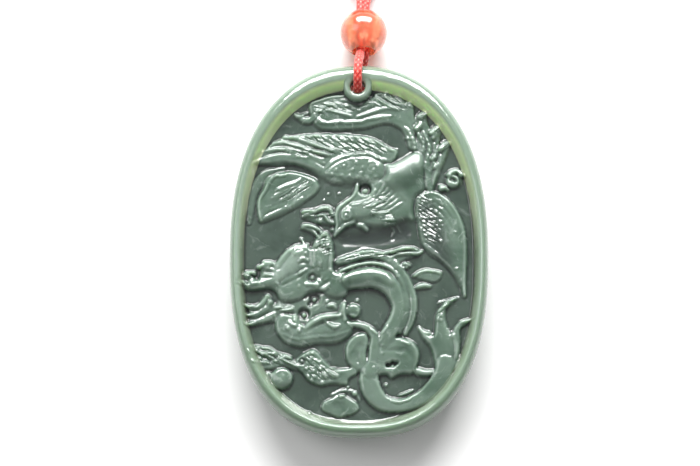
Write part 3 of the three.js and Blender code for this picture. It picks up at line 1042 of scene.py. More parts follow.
@dataclass(frozen=True)
class Form:
    """One raised form of the carving.

    Attributes:
        path: Middle line as (x, y, half width), in millimetres.
        rise: Height of its crest.
        section: Its cross-section.
        base: What the rise is measured from.
        seat: Depth of the line that is cut round its foot.
    """

    path: tuple[Point, ...]
    rise: float
    section: Section = Section.ROUND
    base: Base = Base.GROUND
    seat: float = 0.16

    def profile(self, share: Array, upward: Array) -> Array:
        """Gives the height over the foot as a share of the rise.

        Args:
            share: Distance from the middle line over the half width.
            upward: The same, signed, counted towards the top of the tablet.

        Returns:
            Shares from 0 to 1.
        """
        if self.section is Section.FACET:
            tent = np.minimum((1 - upward) / FACET_SLOPES[0], (1 + upward) / FACET_SLOPES[1])
            return np.clip(tent, 0, 1) * np.clip(FACET_EDGE - FACET_EDGE * share, 0, 1)
        if self.section is Section.TILTED:
            return np.clip(FACET_EDGE - FACET_EDGE * share, 0, 1)
        if self.section is Section.SOFT:
            return np.clip(1 - share**2, 0, 1) ** 2
        if self.section is Section.FLAT:
            return np.sqrt(np.clip(1 - share**FLAT_POWER, 0, 1))
        power = ROUND_POWER if self.section is Section.ROUND else CROWN_POWER
        return np.clip(1 - share**2, 0, 1) ** power


def ridge(rise: float, *path: Point, **options: object) -> Form:
    """Makes a form over the ground along given points of (x, y, half width)."""
    return Form(path, rise, **options)


def detail(rise: float, *path: Point, **options: object) -> Form:
    """Makes a fine form on top of what is already carved."""
    return Form(path, rise, base=Base.SURFACE, **options)


def knob(x: float, y: float, radius: float, rise: float, **options: object) -> Form:
    """Makes a round form over one place."""
    return Form(((x - KNOB_RUN, y, radius), (x + KNOB_RUN, y, radius)), rise, **options)


def studs(rise: float, radius: float, *places: Point) -> list[Form]:
    """Makes small round grains on top of what is already carved."""
    options = {"base": Base.SURFACE, "section": Section.CROWN, "seat": STUD_SEAT}
    return [knob(x, y, radius, rise, **options) for x, y in places]


def lines(rise: float, half: float, *paths: Sequence[Point]) -> list[Form]:
    """Makes fine tapered cuts along given places, each a facet turned to the top of the tablet.

    Args:
        rise: Height of each.
        half: Half their width.
        *paths: Places of each, as (x, y).

    Returns:
        The cuts, in the order given.
    """
    made = []
    for path in paths:
        ends = (0, len(path) - 1)
        places = [(x, y, half * (LINE_TAPER if k in ends else 1.0)) for k, (x, y) in enumerate(path)]
        made.append(detail(rise, *places, section=Section.FACET, seat=LINE_SEAT))
    return made


def glints(rise: float, half: float, *paths: Sequence[Point]) -> list[Form]:
    """Makes small flat cuts that all lean to the top of the tablet, whichever way they run.

    Args:
        rise: Height of each over the ground, at its middle.
        half: Half their width.
        *paths: Places of each, as (x, y).

    Returns:
        The cuts, in the order given.
    """
    options = {"section": Section.TILTED, "seat": LINE_SEAT}
    return [ridge(rise, *((x, y, half) for x, y in path), **options) for path in paths]


def swell(rise: float, *path: Point) -> Form:
    """Makes a soft swelling, or a soft hollow, of what is already carved."""
    return detail(rise, *path, section=Section.SOFT, seat=0.0)


def patch(share: float, *path: Point) -> Form:
    """Makes a soft patch of the face for a vertex value."""
    return ridge(share, *path, section=Section.SOFT, seat=0.0)


def circle(x: float, y: float, radius: float, half: float) -> list[Point]:
    """Returns a closed ring of points with one half width."""
    turns = np.linspace(0, 2 * math.pi, CIRCLE_POINTS)
    return [(x + radius * math.cos(turn), y + radius * math.sin(turn), half) for turn in turns]


def fan(rise: float, count: int, first: Sequence[Point], last: Sequence[Point],
        **options: object) -> list[Form]:
    """Makes fine forms that spread evenly from one path to another.

    Args:
        rise: Height of each.
        count: How many.
        first: The first path.
        last: The last path, with as many points.
        **options: Other fields of the forms.

    Returns:
        The forms, from first to last.
    """
    start = np.array(first)
    end = np.array(last)
    shares = [k / (count - 1) for k in range(count)]
    return [detail(rise, *map(tuple, start + share * (end - start)), **options) for share in shares]


@dataclass(frozen=True)
class Pit:
    """A drilled pit with a ball left standing in it."""

    x: float
    y: float
    radius: float
    ball: float
    ball_shift: float = 0.3
    floor: float = -0.35


class Relief:
    """Height field of the carved face, worked form by form from the lowest to the highest."""

    foot_line = 0.42
    sample_step = 0.12
    narrow = 0.12
    least_lift = 0.03
    tilt = 0.37
    pit_bend = 6
    ball_rise = 0.75

    def __init__(self, x: Array, y: Array, z: Array, ground: float, columns: int) -> None:
        """Starts from the plain face.

        Args:
            x: Places across.
            y: Places along the tablet.
            z: Heights of the plain face, changed in place.
            ground: Height of the sunk ground.
            columns: Places in one row of the grid.
        """
        self.columns = columns
        self.x = x
        self.y = y
        self.z = z
        self.ground = ground

    def near(self, track: Array, reach: float) -> Array:
        """Returns the numbers of the places within a box about a track."""
        low = track[:, :2].min(axis=0) - reach
        high = track[:, :2].max(axis=0) + reach
        return np.flatnonzero((self.x > low[0]) & (self.x < high[0]) & (self.y > low[1]) & (self.y < high[1]))

    def cut_foot(self, places: Array, gap: Array, seat: float) -> None:
        """Cuts a line round the foot of a form.

        Args:
            places: Numbers of the places about it.
            gap: Their distance outside its edge.
            seat: Depth of the line.
        """
        foot = (gap >= 0) & (gap < self.foot_line)
        here = places[foot]
        depth = seat * (1 - gap[foot] / self.foot_line) ** 2
        lowest = np.minimum(self.z[here], self.ground - seat)
        self.z[here] = np.maximum(self.z[here] - depth, lowest)

    def fill(self, mass: Mass) -> None:
        """Lifts the field to a broad area."""
        corners = np.array([*mass.outline, mass.outline[0]])
        edge = smooth_path(corners, self.sample_step)
        near = self.near(edge, self.foot_line)
        x = self.x[near]
        y = self.y[near]
        away = np.full(near.size, np.inf)
        inside = np.zeros(near.size, dtype=bool)
        for (x0, y0), (x1, y1) in zip(edge, edge[1:]):
            away = np.minimum(away, np.hypot(x - x0, y - y0))
            crossing = (y0 > y) != (y1 > y)
            if y1 != y0:
                inside ^= crossing & (x < x0 + (y - y0) / (y1 - y0) * (x1 - x0))
        up = np.clip(away / mass.edge, 0, 1)
        lift = np.zeros_like(self.z)
        lift[near[inside]] = mass.rise * np.sqrt(1 - (1 - up[inside]) ** 2)
        if mass.even:
            lift = evened(lift, self.columns, mass.even)
        raised = lift > self.least_lift
        self.z[raised] = np.maximum(self.z[raised], self.ground + lift[raised])
        self.cut_foot(near, np.where(inside, -1.0, away), mass.seat)

    def raise_form(self, form: Form) -> None:
        """Lifts the field to a form and cuts a line round its foot."""
        track = smooth_path(form.path, self.sample_step)
        half = np.maximum(track[:, 2], self.narrow)
        near = self.near(track, half.max() + self.foot_line)
        dx = self.x[near][:, None] - track[:, 0]
        dy = self.y[near][:, None] - track[:, 1]
        nearest = np.argmin(np.hypot(dx, dy) / half, axis=1)
        rows = np.arange(near.size)
        dx = dx[rows, nearest]
        dy = dy[rows, nearest]
        ahead = np.gradient(track[:, :2], axis=0)
        ahead /= np.linalg.norm(ahead, axis=1)[:, None]
        ahead = ahead[nearest]
        width = half[nearest]
        away = np.hypot(dx, dy)
        across = ahead[:, 0] * dy - ahead[:, 1] * dx
        share = away / width
        crest = form.rise * (0.5 + 0.5 * width / half.max())
        upward = across / width * np.where(ahead[:, 0] < 0, -1, 1)
        top = crest * form.profile(share, upward)
        if form.section is Section.TILTED:
            top *= np.clip(1 - self.tilt * (self.y[near] - track[:, 1].mean()) / crest, 0, 2)
        inside = share < 1
        here = near[inside]
        if form.base is Base.SURFACE:
            self.z[here] += top[inside]
        else:
            self.z[here] = np.maximum(self.z[here], self.ground + top[inside])
        self.cut_foot(near, np.where(inside, -1.0, away - width), form.seat)

    def drill(self, pit: Pit) -> None:
        """Sinks a pit and leaves its ball."""
        away = np.hypot(self.x - pit.x, self.y - pit.y)
        inside = away < pit.radius
        wall = (away[inside] / pit.radius) ** self.pit_bend
        bottom = self.ground + pit.floor
        self.z[inside] = np.minimum(self.z[inside], bottom + wall * np.maximum(self.z[inside] - bottom, 0))
        self.raise_form(knob(pit.x, pit.y - pit.ball_shift, pit.ball, self.ball_rise, seat=0.0))

    def work(self, steps: Sequence[Mass | Form | Pit]) -> None:
        """Carves masses, forms and pits in the order given."""
        for step in steps:
            if isinstance(step, Mass):
                self.fill(step)
            elif isinstance(step, Form):
                self.raise_form(step)
            else:
                self.drill(step)


Carving = list[Mass | Form | Pit]


def strokes(rise: float, path: Sequence[Point], count: int, reach: float, lean: float,
            seed: int) -> list[Form]:
    """Makes short strokes along a path, uneven like hand cutting, with a fixed seed.

    Args:
        rise: Height of each.
        path: Places and half widths that the strokes are set along.
        count: How many.
        reach: Half their length.
        lean: Their turn from the path's heading, in degrees.
        seed: Seed of their unevenness.

    Returns:
        The strokes, from the start of the path.
    """
    chance = np.random.default_rng(seed)
    track = smooth_path(path, STROKE_STEP)
    ahead = np.gradient(track[:, :2], axis=0)
    forms = []
    for k in range(count):
        at = int((k + 0.5 + chance.uniform(-STROKE_SHIFT, STROKE_SHIFT)) / count * (len(track) - 1))
        swing = math.radians(lean + chance.uniform(-STROKE_SWING, STROKE_SWING))
        heading = math.atan2(ahead[at, 1], ahead[at, 0]) + swing
        half = reach * chance.uniform(*STROKE_LENGTHS)
        dx = half * math.cos(heading)
        dy = half * math.sin(heading)
        x, y, width = track[at]
        bow = STROKE_BOW * half
        forms.append(detail(rise * chance.uniform(*STROKE_RISES), (x - dx, y - dy, STROKE_TAPER[0] * width),
                            (x - bow * math.sin(heading), y + bow * math.cos(heading), width),
                            (x + dx, y + dy, STROKE_TAPER[1] * width), section=Section.FACET,
                            seat=STROKE_SEAT))
    return forms


@dataclass(frozen=True)
class Phoenix:
    """The bird of the upper half: tail under the cord hole, wings to both sides, beak to the left."""

    def tail(self) -> Carving:
        """Returns the tail plumes, from the rump round the top to the left."""
        return [
            Mass(((9, 16), (9.4, 18.8), (9, 21.2), (9.9, 22.9), (11.3, 23.3), (11.2, 21.4), (12.1, 20.1),
                (13.7, 20.8), (13.3, 18.6), (13.4, 16.9), (15.2, 18.2), (14.6, 16.2), (13.6, 13.6),
                (12.6, 11), (12, 9.6), (10.9, 9.8), (10.6, 13)), 0.42, 0.37),
            Mass(((-7.4, 20.9), (-8, 22.4), (-8.1, 24.5), (-5, 25.7), (-2.4, 26), (-1.6, 25), (0.2, 24.7),
                (2, 25.3), (2.8, 26.2), (4.9, 26.5), (5.6, 25.7), (7, 26), (7.6, 24.9), (8.8, 24.7),
                (9.2, 22.6), (9.4, 20.5), (9.3, 18.5), (9.4, 16.4), (8.2, 16.8), (7.7, 18.4), (6.8, 20.1),
                (4.4, 21), (1, 20.2), (-3, 19.9), (-6, 20)), 0.42, 0.5),
            ridge(0.4, (-10.4, 22.6, 0.3), (-9.3, 21.8, 0.55), (-8.2, 21.6, 0.6), (-7, 22.6, 0.4),
                section=Section.FLAT),
            *lines(0.3, 0.42, [(-10.9, 23.1), (-10.3, 22.4), (-9.5, 22.5), (-8.6, 22.9)],
                [(-7.8, 24.6), (-6.2, 25.2), (-4.6, 25.7), (-2.6, 25.8)],
                [(-6.9, 22.1), (-6.3, 21.4), (-5.2, 21.1)], [(-4.9, 21.1), (-3.7, 21.3), (-2.8, 21.5)],
                [(-2.8, 21.2), (-1.4, 21.3), (0.8, 21.4)], [(-5.3, 23.3), (-3.4, 23), (-1.3, 22.3)],
                [(-0.2, 22.2), (1.8, 22.9), (3.8, 23.6), (5.6, 23.8), (6.6, 23.5)],
                [(1, 21.7), (3, 22.1), (5.2, 22.3)], [(-2.9, 25), (-1.6, 24.9), (-0.4, 24.5)],
                [(4.3, 25.7), (5.4, 24.9), (6.4, 24.5), (7.3, 24.1)], [(2, 25.4), (3.2, 25.2),
                (4.4, 24.4)]),
            *lines(0.27, 0.36, [(-5.6, 24.5), (-4.6, 24.3), (-3.8, 23.8)],
                [(-4.2, 24.4), (-3, 24.2), (-2.2, 23.7)], [(-2.4, 24.2), (-1.2, 24.1), (-0.2, 23.6)],
                [(-6.9, 23), (-6.2, 23.5), (-5.4, 23.9)], [(-6.4, 23.1), (-5.6, 23.2)],
                [(0, 24.5), (1, 24.7), (1.9, 25.3)], [(0.2, 23.6), (1.2, 24.1), (2.2, 24.2)],
                [(1.4, 24.7), (2.6, 24.5), (3.6, 24)], [(3, 24.9), (4, 24.4), (5.2, 24.2)],
                [(5.4, 25.4), (6.2, 25)], [(2.7, 26.1), (3.6, 26.3)], [(4.2, 26), (4.8, 26.4)],
                [(5.4, 25.8), (6.2, 25.9), (7, 26.1)], [(-1, 23.6), (0.2, 23.2)],
                [(8.1, 24.7), (8.8, 24.9)], [(8.3, 24.1), (8.8, 24)], [(10.4, 23.4), (10.9, 23.5)],
                [(10.1, 22.9), (10.7, 22.8), (11.5, 22.9)], [(12, 19.8), (12.8, 20.5), (13.7, 20.7)],
                [(12.6, 20.9), (13.1, 21.1)], [(13.7, 16.8), (14.4, 17.5), (15.2, 17.9)],
                [(7.5, 18.6), (8.4, 18.5)], [(9.4, 20.3), (10, 20.8)], [(9.9, 21.6), (10.4, 21.8)],
                [(11.8, 14.8), (12.5, 15.4)], [(12.1, 13.5), (12.7, 13.8)]),
            *(detail(0.22, *path, seat=0.12) for path in (
                ((7.6, 20.4, 0.2), (8.4, 19.3, 0.36), (9.2, 17.5, 0.38), (9.1, 16.2, 0.25)),
                ((9, 20.6, 0.2), (9.8, 19.3, 0.36), (10.6, 17.5, 0.38), (10.4, 16.1, 0.25)),
                ((10.6, 19.6, 0.2), (11.2, 18.2, 0.36), (11.6, 16.6, 0.38), (11.1, 15, 0.25)),
                ((12.4, 17.6, 0.2), (12.6, 16, 0.36), (12.2, 14.4, 0.36), (11.6, 12.8, 0.25)),
                ((13.4, 15.6, 0.2), (13.1, 14, 0.32), (12.5, 12.4, 0.32), (12, 10.6, 0.2)))),
            *studs(0.22, 0.28, (8.5, 19.1), (8.9, 18.4), (9.2, 17.6), (9.2, 16.8), (9.8, 19.2),
                (10.2, 18.5), (10.6, 17.7), (10.6, 16.9), (11.2, 18.1), (11.5, 17.3), (11.5, 16.4),
                (11.2, 15.6), (12.4, 15.2), (12.2, 14.3)),
            *glints(0.8, 0.52, [(10, 22.2), (10.5, 22.6), (11, 22.9)],
                [(9.5, 20.2), (9.9, 20.7), (10.2, 21.2)], [(11.9, 19.4), (12.4, 20), (12.9, 20.5)],
                [(13.4, 16.7), (13.9, 17.3), (14.4, 17.7)]),
            *glints(0.82, 0.4, [(12.2, 18.6), (12.6, 19.2)], [(12, 15), (12.4, 15.6)],
                [(12.4, 13.6), (12.7, 14)]),
            *glints(0.75, 0.4, [(14.7, 12.3), (15.2, 12.8), (16.1, 13), (16.8, 12.3)],
                [(15, 11), (15.8, 10.7)], [(13.4, 10), (14, 10.1)]),
            detail(0.12, (11.3, 15.2, 0.4), (11.2, 12.6, 0.55), (11.3, 10.6, 0.55), (11.9, 9.4, 0.4),
                section=Section.FLAT),
        ]

    def left_vane(self) -> Carving:
        """Returns the hanging leaf of feathers under the left wing."""
        return [
            ridge(0.24, (-12.5, 13.3, 0.5), (-15.4, 12.2, 0.9), (-17.1, 9.6, 0.8), (-17.7, 6.8, 0.7),
                (-17.9, 4.2, 0.35)),
            Mass(((-6.3, 10.4), (-7.2, 11.7), (-9.2, 12.5), (-11.4, 12.9), (-13.4, 12.7), (-15.1, 11.8),
                (-15.7, 10.2), (-16.5, 8.2), (-16.6, 6.4), (-16.1, 4.3), (-14, 4.9), (-12, 5.8), (-10, 6.9),
                (-8.3, 8.1), (-7, 9.2)), 0.46, 0.5),
            detail(0.14, (-13.4, 12.4, 0.3), (-14.5, 11.3, 0.35), (-15.3, 9.6, 0.35), (-16.3, 8, 0.35),
                (-16.3, 6.2, 0.35), (-15.9, 4.7, 0.25), section=Section.FLAT),
            detail(0.1, (-15.4, 5, 0.3), (-13.4, 6, 0.35), (-11.4, 7, 0.35), (-9.2, 8.4, 0.3)),
            swell(0.16, (-13.9, 8.4, 0.6), (-12.2, 9.4, 0.9), (-10.2, 10.2, 0.8)),
            *lines(0.3, 0.42, [(-13.6, 12.1), (-12.8, 12.2), (-12, 12.3)],
                [(-13.4, 9.8), (-11.8, 10.5), (-10.4, 11), (-9.6, 11.5)]),
            *strokes(0.22, [(-12.8, 7.9, 0.28), (-11.2, 8.8, 0.3), (-9.4, 10, 0.3), (-8.2, 10.9, 0.28)], 9,
                0.35, 0, 6),
            *strokes(0.12, [(-14.6, 6.4, 0.24), (-12, 7.2, 0.24), (-9.4, 8.9, 0.24)], 8, 0.4, 30, 7),
        ]

    def left_wing(self) -> Carving:
        """Returns the long flight feathers, the rows of small feathers and the spotted shoulder."""
        return [
            Mass(((-17, 14.2), (-16, 16), (-13.5, 18.2), (-10.5, 19), (-7.5, 19.3), (-3, 19.3), (1, 18.9),
                (3, 18.3), (5, 17), (6.4, 16.2), (5.5, 14.5), (4, 14.3), (4.2, 12.2), (3.2, 10.8),
                (2, 10.2), (0, 10.9), (-3, 11), (-5.5, 11.6), (-8, 13), (-10.5, 14), (-13.5, 13.9)), 0.53,
                0.37),
            ridge(0.78, (-16.9, 14.3, 0.3), (-14.5, 14.9, 0.75), (-12, 15.2, 0.9), (-9.5, 14.7, 0.85),
                (-7.2, 13.8, 0.75), (-5.4, 12.6, 0.5), section=Section.FLAT),
            ridge(0.8, (-15.8, 16.2, 0.3), (-13, 16.6, 0.5), (-10.6, 16.4, 0.5), (-8.4, 15.8, 0.45),
                (-6, 14.9, 0.35)),
            ridge(0.84, (-14, 17.7, 0.3), (-11.8, 17.6, 0.5), (-9.6, 17.1, 0.5), (-7.4, 16.3, 0.45),
                (-5, 15.6, 0.35)),
            ridge(0.84, (-12.3, 18.7, 0.3), (-10.2, 18.4, 0.45), (-8.2, 17.8, 0.45), (-6.2, 17, 0.4),
                (-4.5, 16.4, 0.3)),
            *lines(0.3, 0.42, [(-9.8, 17.9), (-8, 17.4), (-6.2, 16.9)],
                [(-11.3, 17.2), (-9.6, 16.8), (-8.3, 16.2)], [(-11.7, 16.3), (-10.6, 16), (-9.8, 15.5)],
                [(-9.9, 15.4), (-8.2, 15.3), (-7, 14.9), (-5.8, 14.3)], [(-7.3, 16.2), (-6, 16),
                (-4.6, 15.6)], [(-4.9, 16.7), (-4, 16.5), (-3.1, 16.4)], [(-11.3, 18.7), (-9.8, 18.9)],
                [(-17, 14.2), (-16.4, 14.9)], [(-7.7, 19), (-6.8, 18.9)],
                [(4.6, 17), (5.4, 16.6), (6.2, 16.7)]),
            Mass(((-5.6, 13.3), (-4.2, 14.6), (-2.4, 15.5), (-0.4, 15.9), (1.6, 15.8), (3.2, 15.1),
                (4.3, 14), (4.3, 12.3), (3.4, 11), (2.2, 10.4), (0.2, 10.9), (-2.8, 10.9), (-5, 11.5),
                (-6.2, 12.4)), 0.91, 0.87, 0.12, 10),
            *lines(0.32, 0.44, [(-5.4, 13.5), (-4.2, 14.6), (-2.6, 15.4), (-0.4, 15.8), (1.8, 15.8),
                (3.1, 15.1)], [(3, 15.2), (4.2, 14.7), (5.2, 14.3)], [(-5.1, 11.5), (-4, 11.2),
                (-2.9, 11)]),
            *studs(0.16, 0.34, (-1.2, 14.9), (-2.5, 13.6), (-1, 13), (-0.4, 14.2), (1.7, 14.2), (2.4, 13),
                (3.1, 13.7), (-2.8, 12.1), (-1.5, 12), (-0.4, 11.7), (-3.7, 13), (0.6, 13.4), (0.3, 12.4),
                (1.4, 11.7), (2.7, 11.9), (-4.4, 12.3)),
        ]

    def right_wing(self) -> Carving:
        """Returns the folded right wing: a grained root and long strands down to its tip."""
        first = [(12.4, 9.2, 0.3), (14.4, 8, 0.35), (16, 5.6, 0.4), (17, 2.4, 0.4), (17.2, -1.6, 0.35),
                 (17.2, -8, 0.2)]
        last = [(12.2, 2.2, 0.25), (12.6, 0.8, 0.3), (13.4, -0.6, 0.35), (14.4, -2.2, 0.3), (15.6, -4.4, 0.3),
                (16.9, -8, 0.2)]
        return [
            Mass(((9.3, 8.4), (10.2, 9.2), (11.6, 9.7), (13.4, 9.2), (15.2, 7.6), (16.6, 5.2), (17.4, 2.4),
                (17.6, -1), (17.4, -4.5), (17.2, -8.4), (16.4, -6.2), (15.2, -4.2), (13.4, -2.4),
                (11.6, -1.2), (10.4, 0.2), (9.8, 2), (9.5, 4), (9.1, 6.2)), 0.53, 0.56),
            *fan(0.1, 8, first, last, seat=0.05),
            detail(0.1, (10.6, 0.6, 0.25), (11.8, -0.4, 0.35), (13.4, -1.8, 0.35), (15, -3.8, 0.3),
                (16.4, -6.4, 0.2)),
            *strokes(0.1, [(10.4, 8, 0.3), (10.6, 5, 0.3), (10.8, 1.6, 0.3)], 9, 0.35, 75, 10),
            *strokes(0.1, [(11.8, 8.2, 0.3), (12, 5, 0.3), (12, 1.8, 0.3)], 9, 0.35, 75, 11),
            *strokes(0.1, [(13.2, 7.6, 0.3), (13.4, 5, 0.3), (13, 2.4, 0.3)], 7, 0.35, 75, 12),
            *studs(0.24, 0.26, (11, 2.2), (12, 3.5), (10.1, 3.2), (12.3, 1.8), (13.3, 1.1), (15.6, 2.6),
                (15.8, -3.5), (10, 5), (11.4, 7), (11.7, 7.8), (12.6, 6), (10.6, 6.6), (13.4, 4.4),
                (11.2, 5)),
        ]

    def head(self) -> Carving:
        """Returns the breast, neck, crest, head, eye and beak."""
        return [
            ridge(0.2, (5, 3.8, 0.2), (5.7, 2.9, 0.25), (5.4, 1.9, 0.15)),
            ridge(0.2, (6.1, 3.8, 0.2), (6.8, 2.7, 0.2)),
            Mass(((-4.1, 2), (-3.9, 4.5), (-3.7, 6.4), (-2.2, 7.8), (-0.9, 9), (-0.4, 10.6), (2, 11.2),
                (4.2, 12), (4.2, 14), (5.5, 14.2), (7, 14.8), (9.2, 16.2), (10.6, 15.5), (10.6, 12),
                (10.7, 9.8), (9.4, 8.6), (8.8, 6.6), (9, 4.6), (7.5, 4.7), (6, 4.1), (4, 3.6), (2, 3.6),
                (0, 3.9), (-1, 4.2), (-2.2, 3.6), (-3.2, 2.4)), 0.72, 0.62, 0.12, 4),
            swell(0.7, (5.6, 11.6, 2.5), (7.3, 12.3, 2.8), (9, 13.6, 2.5)),
            detail(0.14, (4.3, 14.1, 0.3), (5.4, 13.8, 0.4), (7, 14.4, 0.4), (9.2, 15.7, 0.3), seat=0.0),
            ridge(0.68, (-0.2, 3.8, 0.35), (0.7, 3.6, 0.4), (1.3, 3.1, 0.35)),
            ridge(0.96, (-0.3, 10.7, 0.25), (-0.5, 9.6, 0.3), (-1, 8.6, 0.35), (-2.2, 7.6, 0.4),
                (-3.3, 6.6, 0.45), (-3.7, 5.2, 0.45), (-3.5, 3.8, 0.4), (-4, 2.2, 0.2)),
            ridge(0.96, (-0.8, 4.3, 0.35), (-2.2, 3.8, 0.4), (-3.1, 3, 0.35), (-4, 2, 0.2)),
            Mass(((-3.2, 6.4), (-1.4, 7.4), (1.2, 7.9), (2.8, 8.4), (3.4, 7), (3.2, 5.4), (1.4, 4.6),
                (-0.6, 4.4), (-2.2, 3.9), (-3.2, 3.4), (-3.5, 5)), 1.03, 0.74, 0.1, 6),
            *fan(0.18, 6, [(3, 8.8, 0.15), (3.8, 9.8, 0.22), (4.2, 10.6, 0.15)],
                [(4.6, 5.9, 0.15), (6, 6.8, 0.22), (7.2, 7.6, 0.15)]),
            *lines(0.32, 0.45, [(-1.2, 7.2), (0.4, 7.5), (1.8, 7.9), (2.5, 8.8)]),
            *lines(0.28, 0.38, [(1.3, 6.9), (2.4, 7.1), (3.1, 7.7)], [(3.1, 6.7), (3.7, 7.1)],
                [(2.1, 5.8), (3.6, 5.7), (4.8, 6)], [(4.4, 4.7), (5.5, 4.8)], [(4.3, 3.9), (5.7, 4)],
                [(-0.2, 4), (0.8, 3.9)], [(2.3, 9.2), (2.7, 9.7)], [(3.5, 7.9), (4, 8.2)]),
            detail(0.2, *circle(-2.1, 5.3, 0.75, 0.2)),
            *studs(0.16, 0.4, (-2.1, 5.3)),
            Pit(1, 9.9, 1.15, 0.55, 0.4),
        ]

    def carving(self) -> Carving:
        """Returns the whole bird, from the lowest form to the highest."""
        return [*self.tail(), *self.left_vane(), *self.left_wing(), *self.right_wing(), *self.head()]


